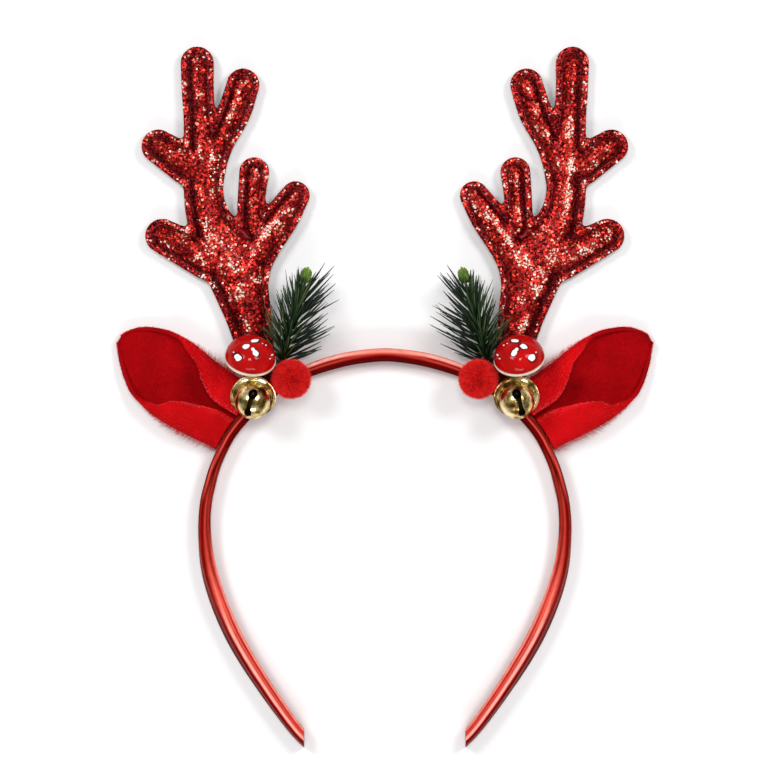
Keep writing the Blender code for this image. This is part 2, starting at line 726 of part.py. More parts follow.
def needle_clear(point):
    """Whether a needle's middle line may pass a point, off the neighbours by the gap."""
    room = NEEDLE_RADIUS + GAP + 0.1
    off_bud = point - Vector(BUD_AT)
    axis = Vector(BUD_AXIS).normalized()
    along = max(-BUD_SIZE[1], min(BUD_SIZE[1], off_bud.dot(axis)))
    if (off_bud - axis * along).length < BUD_SIZE[0] + room:
        return False
    if (point - Vector(CAP_AT)).length < CAP_ROOM + room:
        return False
    if (point - Vector(POMPOM_AT)).length < POMPOM_CORE + POMPOM_TUFT + room:
        return False
    if antler_distance(np.array([point[:2]]))[0] < room:
        return point.z > ANTLER_MID_Z + ANTLER_EDGE_HALF + ANTLER_PAD + room
    return point.z > room


def build_sprig(side, label):
    rng = random.Random(7)
    line = [mirrored(stem_at(k / 8)[0], side) for k in range(9)]
    sprig = tube("sprig_" + label, line, [STEM_RADIUS] * 8 + [STEM_RADIUS * 0.7], 6, PARTS)
    needles = []
    low, high = NEEDLE_FAN
    for k in range(NEEDLE_COUNT):
        share = 0.14 + 0.76 * (k + 0.5) / NEEDLE_COUNT
        turn = math.radians(low + (high - low) * ((k * 0.618) % 1.0))
        spot, ahead = stem_at(share)
        across = Vector((0.0, 0.0, 1.0)).cross(ahead).normalized()
        over = ahead.cross(across)
        inward = -across if across.x > 0 else across
        spread = inward * math.cos(turn) + over * math.sin(turn) * NEEDLE_FLATTEN
        opening, length = needle_shape(share, turn)
        length *= rng.uniform(0.9, 1.02)
        aim = (ahead * math.cos(opening) + spread * math.sin(opening)).normalized()
        while length > 2.0 and not all(needle_clear(spot + aim * length * part)
                                       for part in (0.3, 0.5, 0.7, 0.85, 1.0)):
            length -= 0.5
        if length <= 2.0:
            continue
        tip = spot + aim * length
        middle = spot + aim * length * 0.5
        needles.append(tube("needle", [mirrored(p, side) for p in (spot, middle, tip)],
                            [NEEDLE_RADIUS, NEEDLE_RADIUS, 0.12], 4, CUTTERS))
    shape = bmesh.new()
    for needle in needles:
        shape.from_mesh(needle.data)
    joined = bpy.data.meshes.new("needles")
    shape.to_mesh(joined)
    shape.free()
    for needle in needles:
        bpy.data.objects.remove(needle, do_unlink=True)
    bunch = bpy.data.objects.new("needles", joined)
    CUTTERS.objects.link(bunch)
    combine(sprig, bunch, "UNION")
    keep_largest(sprig)
    finish(sprig, "sprig_" + label, PINE_GREEN)
    wide, tall = BUD_SIZE
    rows = [(wide * math.sin(math.pi * k / 6) * (1.0 + 0.12 * math.cos(math.pi * k / 6)),
             tall * math.cos(math.pi * k / 6)) for k in range(7)]
    rows[0] = (0.0, tall)
    rows[-1] = (0.0, -tall)
    bud = turned("sprig_bud_" + label, rows, 10, PARTS)
    place(bud, BUD_AT, BUD_AXIS, side)
    finish(bud, "sprig_bud_" + label, BUD_GREEN)


build_hoop()
for SIDE, LABEL in ((-1, "left"), (1, "right")):
    EDGE = build_antler(SIDE, LABEL)
    build_ear(SIDE, LABEL, EDGE)
    build_mushroom(SIDE, LABEL)
    build_bell(SIDE, LABEL)
    build_pompom(SIDE, LABEL)
    build_sprig(SIDE, LABEL)
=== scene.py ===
"""Looks of the reindeer antler headband, seen from straight above as it lies on its back.

Tables and lengths are in millimetres for the side at +X, with "out" measured from the middle of
the hoop and "up" towards the antler tips. Each builder makes its side with side = 1 or -1.
"""

from contextlib import contextmanager
from math import atan2, cos, exp, hypot, pi, radians, sin, sqrt, tau

import bmesh
import bpy
import numpy as np
from mathutils import Matrix, Vector, noise
from mathutils.geometry import delaunay_2d_cdt


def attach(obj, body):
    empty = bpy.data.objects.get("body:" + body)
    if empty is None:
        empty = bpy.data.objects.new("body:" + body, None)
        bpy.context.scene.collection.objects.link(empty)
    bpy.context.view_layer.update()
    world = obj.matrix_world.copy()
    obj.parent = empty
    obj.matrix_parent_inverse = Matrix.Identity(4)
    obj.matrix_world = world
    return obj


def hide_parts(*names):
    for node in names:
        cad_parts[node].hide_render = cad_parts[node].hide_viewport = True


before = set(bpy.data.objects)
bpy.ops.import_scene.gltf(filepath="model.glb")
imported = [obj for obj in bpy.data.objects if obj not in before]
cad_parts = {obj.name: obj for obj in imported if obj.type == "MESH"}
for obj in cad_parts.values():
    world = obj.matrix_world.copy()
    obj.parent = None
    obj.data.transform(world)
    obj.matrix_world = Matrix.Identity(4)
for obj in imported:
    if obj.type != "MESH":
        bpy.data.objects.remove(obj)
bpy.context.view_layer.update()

MM = 0.001
GAP = 0.3
CUT_SPAN = (-5.0, 25.0)
BODY = "root"

# Camera: millimetres that one pixel of the 768 pixel frame covers at the object's middle height
PIXEL = 0.375
FRAME_PIXELS = 768
SENSOR = 36.0
CAMERA_RISE = 1200.0
CAMERA_AT = (-0.3, 4.7)
CAMERA_FOCUS_Z = 5.0
FLOOR_HALF = 3000.0

# Hoop: rows of out, up, thickness, lean of the section in degrees
HOOP_DEPTH = 7.6
HOOP_CORNER = 1.3
HOOP_END_OUT = 30.3
HOOP_ROWS = [
    (0, 15.6, 4.9, 0), (8.4, 14.95, 5, 0), (15.9, 13.65, 5.1, 0),
    (23.4, 11.55, 5, 0), (30.9, 8.7, 4.7, 0), (38.4, 4.5, 4.4, 0), (45.9, -1, 4.2, 0),
    (52.8, -7.9, 4.1, 0), (57.9, -14.3, 4, 0), (61.4, -21, 3.9, 0),
    (63.9, -27, 4, 0), (65.6, -33, 4.2, 0.5), (67, -39, 4.4, 2),
    (67.7, -46.5, 4.5, 4), (67.5, -54, 4.7, 6.5), (66.4, -63, 5, 12),
    (64.2, -71.5, 5.1, 18), (60.9, -80.6, 5.1, 21), (56.6, -90, 5.1, 21),
    (51.5, -99, 5.1, 18.5), (45.7, -108, 5, 15), (39.5, -117, 4.8, 12.5),
    (33, -125.5, 4.6, 11), (27, -131.4, 4.6, 11),
]

# Antler: each branch has rows of out, up, half width
ANTLER_MID_Z = 4.0
ANTLER_EDGE_HALF = 0.8
ANTLER_BORDER = 2.4
ANTLER_PAD = 2.8
ANTLER_PAD_REACH = 6.0
ANTLER_LOW = (24.0, -4.0)
ANTLER_HIGH = (94.0, 134.0)
ANTLER_BRANCHES = {
    "beam": [(45.5, 0, 5.6), (48.5, 17.2, 6.9), (50.9, 29.2, 8.4), (53.6, 39.4, 10),
             (56.7, 50.2, 11.6), (63.9, 61.9, 9), (67.6, 72.8, 7.6), (68.4, 88.5, 7.1),
             (69.5, 103.5, 6), (70.2, 114.8, 6), (70.4, 125.1, 6.2)],
    "upper_inner": [(53.2, 117, 6.1), (56.6, 106.5, 6.2), (62, 95.2, 5.4), (66.1, 84, 5.6)],
    "upper_outer": [(85, 93.9, 6.3), (74.4, 87, 7.5)],
    "lower_outer": [(83.5, 60.3, 6.4), (66.9, 51.8, 7.9)],
    "lower_middle": [(49, 84.2, 5.6), (50, 74.2, 5.2), (49.6, 64.1, 6)],
    "lower_inner": [(33.5, 75.5, 5.3), (38.7, 67.5, 6.6), (45.9, 57.4, 7.1), (51.1, 48, 7.5)],
}
BRANCH_BLEND = 2.6
# Shift of the random dents on an antler's back
BACK_SEED = 40.0
FLAKE_STEP = 0.58
FLAKE_SIDES = 6
# Glitter: share, red, green, blue; the palest rows are painted glints
FLAKE_TINTS_WITH_PAINTED_GLINTS = [
    (0.20, 0.08, 0.001, 0.001), (0.36, 0.34, 0.009, 0.007), (0.27, 0.62, 0.040, 0.022),
    (0.10, 0.92, 0.220, 0.140), (0.07, 1.00, 0.720, 0.600),
]

# Ear: rows of distance along, half width above, half width below, open half above,
# open half below, height of the roll, turn of the roll in degrees, lift of the back
EAR_BASE = (58.2, -6.4)
EAR_TIP = (99.9, 20.2)
EAR_THICK = 1.6
EAR_ROWS = [
    (-9, 12.4, 13.2, 0.9, 0.9, 5, 180, 1.8), (0, 12.4, 13.5, 0.9, 0.9, 5.4, 180, 1.8),
    (5, 12.5, 14.2, 0.9, 1.3, 6.6, 180, 1.8), (10, 12.7, 14.7, 1.9, 2.9, 7.8, 180, 1.8),
    (16, 13.1, 15.2, 6, 5.3, 8.4, 180, 1.8), (21.5, 13.8, 15.3, 10.5, 8.8, 7.2, 180, 1.9),
    (26.5, 14.2, 14.9, 14, 13.2, 7, 160, 2), (31, 14, 13.9, 15, 15, 6.4, 110, 2.2),
    (35.2, 13.4, 12.6, 15, 15, 5.2, 85, 2.4), (39.2, 12, 10.1, 15, 15, 4.4, 70, 2.6),
    (43.2, 10.1, 6.8, 15, 15, 3.6, 60, 2.9), (46.4, 7.7, 3.7, 15, 15, 2.4, 40, 3.2),
    (48.2, 5.6, 1.8, 15, 15, 1.2, 18, 3.5), (49.2, 4.1, 0.7, 15, 15, 0.5, 8, 3.8),
    (49.8, 2.4, 0, 15, 15, 0.2, 4, 4),
]
EAR_FLAP_Z = 4.8
EAR_FLAP_RUN = 32.0
EAR_BACK_STEPS = 12
EAR_ROLL_STEPS = 9
EAR_FLAP_STEPS = 8
FUR_HAIRS = 78000

# Mushroom
CAP_AT = (50.0, 13.9, 17.4)
CAP_AXIS = (-0.15, 0.76, 0.63)
CAP_RADIUS = 9.3
CAP_TALL = 8.6
CAP_FOOT = 0.9
CAP_ROOM = 10.0
# White dabs as seen from the front: across, up from the cap's middle, half length, half width,
# turn in degrees
CAP_DABS = [
    (4.1, 0.5, 1.60, 1.65, 0), (1.1, 5, 1.65, 1.05, 20), (-1.5, 3.9, 0.95, 0.75, -40),
    (-2.4, 2.5, 1.65, 1.15, -65), (-2, 7.2, 1.70, 0.70, 5), (-6, 5.4, 0.36, 0.30, -30),
    (-8.2, 1.5, 0.50, 0.40, 40), (-7.5, 0.1, 0.38, 0.30, 10), (5.7, 2.5, 0.38, 0.30, 0),
    (-4.8, 6.1, 0.30, 0.22, 0),
]

DAB_WHITE = (0.95, 0.93, 0.90)
# The dark ring round each white dab is a painted shadow of the raised paint
DAB_PAINTED_SHADOW = (0.09, 0.0, 0.001)
DAB_WHITE_RINGS = 4
DAB_SIDES = 24

# Jingle bell: a deep front dome in a wider back bowl; rim rows of radius, height
BELL_AT = (49.0, 0.1, 14.9)
BELL_AXIS = (0.0, -0.47, 0.88)
BELL_DOME = 6.5
BELL_DOME_AHEAD = 4.2
BELL_RIM = [
    (6.52, 3.2), (6.5, 2.2), (6.55, 1.5), (6.75, 1.1), (7.1, 1), (7.3, 1.15), (7.5, 1.2),
    (7.7, 1.05), (7.9, 0.75), (8.15, 0.65), (8.4, 0.62), (8.55, 0.4), (8.6, 0.05), (8.5, -0.35),
    (8.2, -0.6),
]
BELL_BOWL = (8.0, 5.6)
BELL_WALL = 0.6
SLOT_AXIS = (0.15, -0.09, 0.98)
SLOT_SPIN = 18.5
# Slot outline: along, left edge, right edge
SLOT_ROWS = [
    (5.3, -0.15, 0.15), (5.1, -0.85, 0.85), (4.6, -1.4, 1.4), (4, -1.65, 1.65), (3.3, -1.7, 1.6),
    (2.6, -1.5, 1.35), (1.9, -1.3, 1.05), (1, -1.15, 0.85), (0, -1.05, 0.72),
    (-1, -1, 0.62), (-1.9, -1.05, 0.62), (-2.7, -1.35, 0.8), (-3.4, -1.6, 1.05),
    (-4.1, -1.65, 1.1), (-4.7, -1.3, 0.9), (-5, -0.4, 0.3),
]

# Pompom
POMPOM_AT = (34.8, 6.5, 15.7)
POMPOM_CORE = 5.9
POMPOM_REACH = 8.0
POMPOM_FIBRES = 14000

# Pine sprig: stem rows of out, up, height
STEM_ROWS = [
    (38.7, 8.5, 5.2), (38.1, 12.8, 9), (35.2, 24.8, 11.6), (32.2, 35, 12.4),
    (30.4, 41.3, 12.6),
]
STEM_RADIUS = 0.8
NEEDLES = 320
NEEDLE_FAN = (-50.0, 180.0)
NEEDLE_FLATTEN = 0.7
NEEDLE_LEAST = 3.0
LOOSE_LEFT_OUT = 0.62
# Needles: share of the stem, opening towards the middle and outwards, length towards the middle
# and outwards
NEEDLE_ROWS = [
    (0, 64, 74, 18.5, 13.5), (0.3, 58, 57, 20.8, 15), (0.55, 47, 43, 21.2, 15.6),
    (0.75, 33, 31, 19, 14), (0.9, 17, 17, 14.5, 11.5), (1, 8, 8, 11, 9),
]
BUD_AT = (29.3, 45.4, 12.7)
BUD_AXIS = (-0.26, 0.96, 0.03)
BUD_ROOM = (4.3, 2.6)
BUD_SCALES = 30

rng = np.random.default_rng(20)


def new_mesh(name, points, faces, smooth=True):
    """An object in metres from points in millimetres."""
    mesh = bpy.data.meshes.new(name)
    mesh.from_pydata((np.asarray(points, float) * MM).tolist(), [], faces)
    mesh.polygons.foreach_set("use_smooth", [smooth] * len(mesh.polygons))
    mesh.update()
    thing = bpy.data.objects.new(name, mesh)
    bpy.context.scene.collection.objects.link(thing)
    return thing


@contextmanager
def reshaped(mesh):
    """A mesh open for editing, written back at the end."""
    shape = bmesh.new()
    shape.from_mesh(mesh)
    yield shape
    shape.to_mesh(mesh)
    shape.free()


def settle(thing):
    """Turn the modifiers of an object into its mesh, with outward faces."""
    graph = bpy.context.evaluated_depsgraph_get()
    mesh = bpy.data.meshes.new_from_object(thing.evaluated_get(graph))
    with reshaped(mesh) as shape:
        bmesh.ops.remove_doubles(shape, verts=shape.verts, dist=0.000004)
        bmesh.ops.recalc_face_normals(shape, faces=shape.faces)
    thing.modifiers.clear()
    thing.data = mesh
    mesh.polygons.foreach_set("use_smooth", [True] * len(mesh.polygons))


def carve(thing, tool):
    """Cut one closed shape out of another."""
    step = thing.modifiers.new("difference", "BOOLEAN")
    step.operation = "DIFFERENCE"
    step.solver = "EXACT"
    step.object = tool
    settle(thing)
    bpy.data.objects.remove(tool, do_unlink=True)


def dress(thing, slot, hides, *materials):
    """Give a piece its materials and body, and hide the solid that it stands for if any; the slot
    is not used.
    """
    for each in materials:
        thing.data.materials.append(each)
    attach(thing, BODY)
    if hides:
        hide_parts(hides)


def tint(thing, colours):
    """Give each vertex a colour."""
    layer = thing.data.color_attributes.new(name="tint", type="FLOAT_COLOR", domain="POINT")
    full = np.ones((len(colours), 4))
    full[:, :3] = colours
    layer.data.foreach_set("color", full.ravel())


def side_of(points, side):
    points = np.array(points, float)
    points[..., 0] *= side
    return points


def sided_mesh(name, points, faces, side, smooth=True):
    """A mesh of one side: at -1 it is mirrored and its faces are turned back outwards."""
    faces = faces if side > 0 else [f[::-1] for f in faces]
    return new_mesh(name, side_of(points, side), faces, smooth)


def bands(rows, count, closed=True):
    """Four-sided faces between rows of points, each row a ring or an open line."""
    return [(i * count + k, i * count + (k + 1) % count,
             (i + 1) * count + (k + 1) % count, (i + 1) * count + k)
            for i in range(rows - 1) for k in range(count if closed else count - 1)]


def smooth_line(rows, parts):
    """A curve through the rows, with the same number of points between each two."""
    keys = np.array(rows, float)
    keys = np.vstack([2 * keys[0] - keys[1], keys, 2 * keys[-1] - keys[-2]])
    line = []
    for i in range(1, len(keys) - 2):
        a, b, c, d = keys[i - 1:i + 3]
        for t in np.arange(parts) / parts:
            line.append(0.5 * (2 * b + (c - a) * t + (2 * a - 5 * b + 4 * c - d) * t ** 2
                               + (3 * b - a - 3 * c + d) * t ** 3))
    line.append(keys[-2])
    return np.array(line)


def spokes(across, over, count):
    """Directions all round between two others, for each of their rows."""
    angle = np.arange(count) * tau / count
    return (across[:, None] * np.cos(angle)[None, :, None]
            + over[:, None] * np.sin(angle)[None, :, None])


def even_line(line, step, flat=True):
    """The same curve with points at an even distance."""
    width = 2 if flat else 3
    run = np.r_[0.0, np.cumsum(np.linalg.norm(np.diff(line[:, :width], axis=0), axis=1))]
    marks = np.linspace(0.0, run[-1], max(2, round(run[-1] / step)) + 1)
    return np.column_stack([np.interp(marks, run, line[:, k]) for k in range(line.shape[1])])


def held(values):
    """Values kept between 0 and 1."""
    return np.clip(values, 0.0, 1.0)


def unit(vectors):
    return vectors / np.maximum(np.linalg.norm(vectors, axis=-1, keepdims=True), 1e-12)


def hum(x, y, z):
    """Smooth noise from about -1 to 1 at a place."""
    return noise.noise(Vector((x, y, z)))


def patchy(points, scale, seed):
    """Smooth noise from about -1 to 1 at each point."""
    return np.array([hum(p[0] / scale + seed, p[1] / scale,
                         (p[2] if len(p) > 2 else 0.0) / scale) for p in points])


# Materials


def material(name, colour, **values):
    """A principled material; values name the shader's sockets with underscores for spaces."""
    made = bpy.data.materials.new(name)
    made.use_nodes = True
    shader = made.node_tree.nodes["Principled BSDF"]
    shader.inputs["Base Color"].default_value = (*colour, 1.0)
    for key, value in values.items():
        shader.inputs[key.replace("_", " ")].default_value = value
    made.diffuse_color = (*colour, 1.0)
    return made


def link(made, source, target):
    """Join two sockets; a name stands for a socket of the principled shader."""
    if isinstance(target, str):
        target = made.node_tree.nodes["Principled BSDF"].inputs[target]
    made.node_tree.links.new(source, target)


def node(made, kind, **values):
    """A node with its own settings; names with a capital are sockets, to be set or linked."""
    new = made.node_tree.nodes.new("ShaderNode" + kind)
    for key, value in values.items():
        if not key[0].isupper():
            setattr(new, key, value)
        elif isinstance(value, bpy.types.NodeSocket):
            link(made, value, new.inputs[key.replace("_", " ")])
        else:
            new.inputs[key.replace("_", " ")].default_value = value
    return new


def coordinates(made, kind="Object"):
    return node(made, "TexCoord").outputs[kind]


def own_tint(made):
    """The vertices' own colour."""
    return node(made, "VertexColor", layer_name="tint").outputs["Color"]


def cloud(made, where, scale, detail, **values):
    return node(made, "TexNoise", Vector=where, Scale=scale, Detail=detail,
                **values).outputs["Fac"]


def ranged(made, source, low, high, **values):
    """A value spread between two others."""
    return node(made, "MapRange", Value=source, To_Min=low, To_Max=high,
                **values).outputs["Result"]


def ramp(made, source, stops):
    """Base colour along a value: rows of place, colour."""
    new = node(made, "ValToRGB", Fac=source)
    elements = new.color_ramp.elements
    while len(elements) < len(stops):
        elements.new(0.5)
    for element, (spot, colour) in zip(elements, stops):
        element.position = spot
        element.color = (*colour, 1.0)
    link(made, new.outputs["Color"], "Base Color")


def rough(made, where, scale, low, high):
    """Roughness that wanders between two values."""
    link(made, ranged(made, cloud(made, where, scale, 2.0), low, high), "Roughness")


def bumped(made, where, layers):
    """Bump from noise: rows of scale, detail, strength, distance in millimetres."""
    before = {}
    for scale, detail, strength, distance in layers:
        bump = node(made, "Bump", Height=cloud(made, where, scale, detail), Strength=strength,
                    Distance=distance * MM, **before)
        before = {"Normal": bump.outputs["Normal"]}
    link(made, before["Normal"], "Normal")


def finish(name, colour, mottle=None, wander=None, bumps=None, detail=3.0, **values):
    """A material with base colour mottled by noise (scale, stops), or else the vertices' own,
    and with roughness and bump that wander."""
    made = material(name, colour, **values)
    where = coordinates(made) if mottle or bumps else None
    if mottle:
        ramp(made, cloud(made, where, mottle[0], detail), mottle[1])
    else:
        link(made, own_tint(made), "Base Color")
    if wander:
        rough(made, where, *wander)
    if bumps:
        bumped(made, where, bumps)
    return made


def satin_material():
    made = material("red_satin", (0.5, 0.012, 0.02), Roughness=0.3, Specular_IOR_Level=0.015)
    along = coordinates(made, "UV")
    streaks = cloud(made, along, 16.0, 5.0, Roughness=0.65)
    mixed = node(made, "VectorMath", operation="MULTIPLY")
    link(made, own_tint(made), mixed.inputs[0])
    link(made, ranged(made, streaks, 0.35, 1.6), mixed.inputs[1])
    link(made, mixed.outputs["Vector"], "Base Color")
    rough(made, along, 14.0, 0.22, 0.42)
    bumped(made, along, [(22.0, 3.0, 0.3, 0.2), (90.0, 2.0, 0.12, 0.05)])
    return made


def glitter_base_material():
    made = material("glitter_fabric", (0.2, 0.004, 0.008), Metallic=0.6, Roughness=0.35)
    cells = node(made, "TexVoronoi", Vector=coordinates(made), Scale=1500.0)
    split = node(made, "SeparateColor", Color=cells.outputs["Color"])
    ramp(made, split.outputs["Red"], [(0.0, (0.03, 0.001, 0.002)), (0.5, (0.16, 0.003, 0.006)),
                                      (0.9, (0.45, 0.01, 0.015))])
    bump = node(made, "Bump", Height=split.outputs["Green"], Strength=0.6, Distance=0.1 * MM)
    link(made, bump.outputs["Normal"], "Normal")
    return made


def flake_material():
    """Red flakes are metallic; the pale ones, painted glints, hardly."""
    made = material("glitter_flakes", (0.5, 0.01, 0.02), Roughness=0.3, Specular_IOR_Level=0.1)
    own = own_tint(made)
    link(made, own, "Base Color")
    green = node(made, "SeparateColor", Color=own).outputs["Green"]
    link(made, ranged(made, green, 0.85, 0.15, From_Min=0.05, From_Max=0.5), "Metallic")
    return made


def plush_material(name, bright):
    stops = [(0.3, (0.24 * bright, 0.001, 0.002)), (0.5, (0.36 * bright, 0.001, 0.003)),
             (0.75, (0.50 * bright, 0.003, 0.006))]
    return finish(name, (0.4, 0.002, 0.004), (45.0, stops), Roughness=0.9, Sheen_Weight=0.12,
                  Sheen_Roughness=0.4, Sheen_Tint=(1.0, 0.08, 0.07, 1.0),
                  Specular_IOR_Level=0.05,
                  bumps=[(900.0, 4.0, 0.6, 0.3), (140.0, 3.0, 0.35, 0.8)])


def fibre_material(name, gloss):
    return finish(name, (0.6, 0.012, 0.018), Roughness=0.65, Specular_IOR_Level=gloss)


# Shapes shared by the pieces

HOOP_HALF_LINE = smooth_line(HOOP_ROWS, 6)


def beside(points, a, b):
    """Share along a segment, offset from it and distance, of flat points."""
    along = b[:2] - a[:2]
    t = held(((points - a[:2]) @ along) / (along @ along))
    off = points - a[:2] - t[:, None] * along
    return t, off, np.linalg.norm(off, axis=1)


def hoop_distance(points):
    """Signed distance of flat points from the outer face of the hoop, positive outside."""
    best = np.full(len(points), 1e9)
    signed = np.zeros(len(points))
    for a, b in zip(HOOP_HALF_LINE[:-1], HOOP_HALF_LINE[1:]):
        t, off, far = beside(points, a, b)
        near = far < best
        sign = np.where(off @ np.array([a[1] - b[1], b[0] - a[0]]) < 0.0, -1.0, 1.0)
        best = np.where(near, far, best)
        signed = np.where(near, sign * far - 0.5 * (a[2] + t * (b[2] - a[2])), signed)
    return signed


def branch_distance(points, rows):
    """Distance of flat points from one branch, negative inside it."""
    line = smooth_line(rows, 6) if len(rows) > 2 else np.array(rows, float)
    best = np.full(len(points), 1e9)
    for a, b in zip(line[:-1], line[1:]):
        t, _, far = beside(points, a, b)
        best = np.minimum(best, far - a[2] - t * (b[2] - a[2]))
    return best


def antler_distance(points):
    """Distance from the outline of the whole antler, negative inside it."""
    field = None
    for rows in ANTLER_BRANCHES.values():
        branch = branch_distance(points, rows)
        if field is None:
            field = branch
            continue
        mix = np.clip(BRANCH_BLEND - np.abs(field - branch), 0.0, None) / BRANCH_BLEND
        field = np.minimum(field, branch) - mix * mix * BRANCH_BLEND * 0.25
    return np.maximum(field, GAP - hoop_distance(points))


def scatter(count):
    """Random vectors with no preferred direction."""
    return rng.normal(0.0, 1.0, (count, 3))


def antler_axes(step, rise):
    return (np.arange(ANTLER_LOW[0], ANTLER_HIGH[0], step),
            np.arange(ANTLER_LOW[1], ANTLER_HIGH[1], rise))


def antler_field(xs, ys):
    """The antler's distance on a grid."""
    grid_x, grid_y = np.meshgrid(xs, ys)
    return antler_distance(np.c_[grid_x.ravel(), grid_y.ravel()]).reshape(grid_x.shape)


def level_lines(value, xs, ys):
    """The closed lines on which a gridded field is zero, the longest first."""
    inside = value < 0
    links = {}
    place_of = {}

    def crossed(key):
        r, c, vertical = key
        r2, c2 = (r + 1, c) if vertical else (r, c + 1)
        if inside[r, c] == inside[r2, c2]:
            return False
        t = value[r, c] / (value[r, c] - value[r2, c2])
        place_of[key] = (xs[c] + t * (xs[c2] - xs[c]), ys[r] + t * (ys[r2] - ys[r]))
        return True

    some = inside[:-1, :-1] | inside[1:, :-1] | inside[:-1, 1:] | inside[1:, 1:]
    every = inside[:-1, :-1] & inside[1:, :-1] & inside[:-1, 1:] & inside[1:, 1:]
    for r, c in zip(*np.nonzero(some & ~every)):
        edges = [key for key in ((r, c, False), (r, c + 1, True), (r + 1, c, False),
                                 (r, c, True)) if crossed(key)]
        if len(edges) == 2:
            links.setdefault(edges[0], []).append(edges[1])
            links.setdefault(edges[1], []).append(edges[0])
    loops = []
    left = set(links)
    while left:
        start = min(left)
        loop = [start]
        left.discard(start)
        while True:
            onward = [k for k in links[loop[-1]] if k in left]
            if not onward:
                break
            loop.append(onward[0])
            left.discard(onward[0])
        loops.append(np.array([place_of[k] for k in loop]))
    return sorted(loops, key=len, reverse=True)


def evened(loop, step):
    return even_line(np.vstack([loop, loop[:1]]), step)[:-1]


def pad_half(field):
    """Half the thickness of the antler at a signed distance from its outline."""
    depth = np.maximum(-field, 0.0)
    edge = held(depth / 0.5)
    rim = 0.25 + (ANTLER_EDGE_HALF - 0.25) * np.sqrt(edge * (2.0 - edge))
    run = held((depth - ANTLER_BORDER) / ANTLER_PAD_REACH)
    groove = 0.5 * np.exp(-(((depth - ANTLER_BORDER + 0.1) / 0.38) ** 2))
    return rim - groove + ANTLER_PAD * np.sqrt(run * (2.0 - run))


def antler_half(points, seed):
    """Half thickness with the soft dents of a stuffed pad."""
    field = antler_distance(points)
    run = held((-field - ANTLER_BORDER) / 3.0)
    dents = 0.30 * patchy(points, 9.0, seed) + 0.14 * patchy(points, 3.5, seed + 7.0)
    return np.maximum(pad_half(field) + run * dents, 0.2)


def antler_grid():
    """The antler's field on a grid, and the outlines that shape its mesh."""
    xs, ys = antler_axes(0.5, 0.5)
    value = antler_field(xs, ys)
    edge = evened(level_lines(value, xs, ys)[0], 0.8)
    rings = []
    for depth, step in ((0.22, 0.8), (0.5, 0.9), (1.4, 1.1), (2.0, 0.9), (2.25, 0.8),
                        (2.5, 0.8), (2.75, 0.9), (3.3, 1.1)):
        rings += [evened(loop, step) for loop in level_lines(value + depth, xs, ys)
                  if len(loop) > 12]
    return edge, np.vstack(rings)


ANTLER_EDGE, ANTLER_RINGS = antler_grid()


def build_antler(side, label, seed):
    xs, ys = antler_axes(1.25, 1.1)
    inner = np.array([(x + (0.62 if j % 2 else 0.0), y) for j, y in enumerate(ys) for x in xs])
    inner = inner[antler_distance(inner) < -3.9]
    flat = np.vstack([ANTLER_EDGE, ANTLER_RINGS, inner])
    n_edge = len(ANTLER_EDGE)
    ring = [(i, (i + 1) % n_edge) for i in range(n_edge)]
    result = delaunay_2d_cdt([Vector(p) for p in flat], ring, [], 0, 0.00001)
    flat = np.array([tuple(p) for p in result[0]])
    middles = np.array([flat[list(f)].mean(axis=0) for f in result[2]])
    faces = [f for f, d in zip(result[2], antler_distance(middles)) if d < 0.0]
    half = antler_half(flat, seed)
    back = antler_half(flat, seed + BACK_SEED)
    n = len(flat)
    top = np.column_stack([flat, ANTLER_MID_Z + half])
    low = np.column_stack([flat, np.maximum(ANTLER_MID_Z - back, 0.35)])
    shell = [tuple(f) for f in faces] + [tuple(i + n for i in reversed(f)) for f in faces]
    used = set()
    for f in faces:
        used.update(zip(f, f[1:] + f[:1]))
    shell += [(b, a, a + n, b + n) for a, b in sorted(used) if (b, a) not in used]
    antler = sided_mesh("antler_pad_" + label, np.vstack([top, low]), shell, side)
    settle(antler)
    dress(antler, "red_glitter", "antler_" + label, GLITTER_BASE)
    dress(build_flakes(side, label, seed), "red_glitter", None, FLAKES)


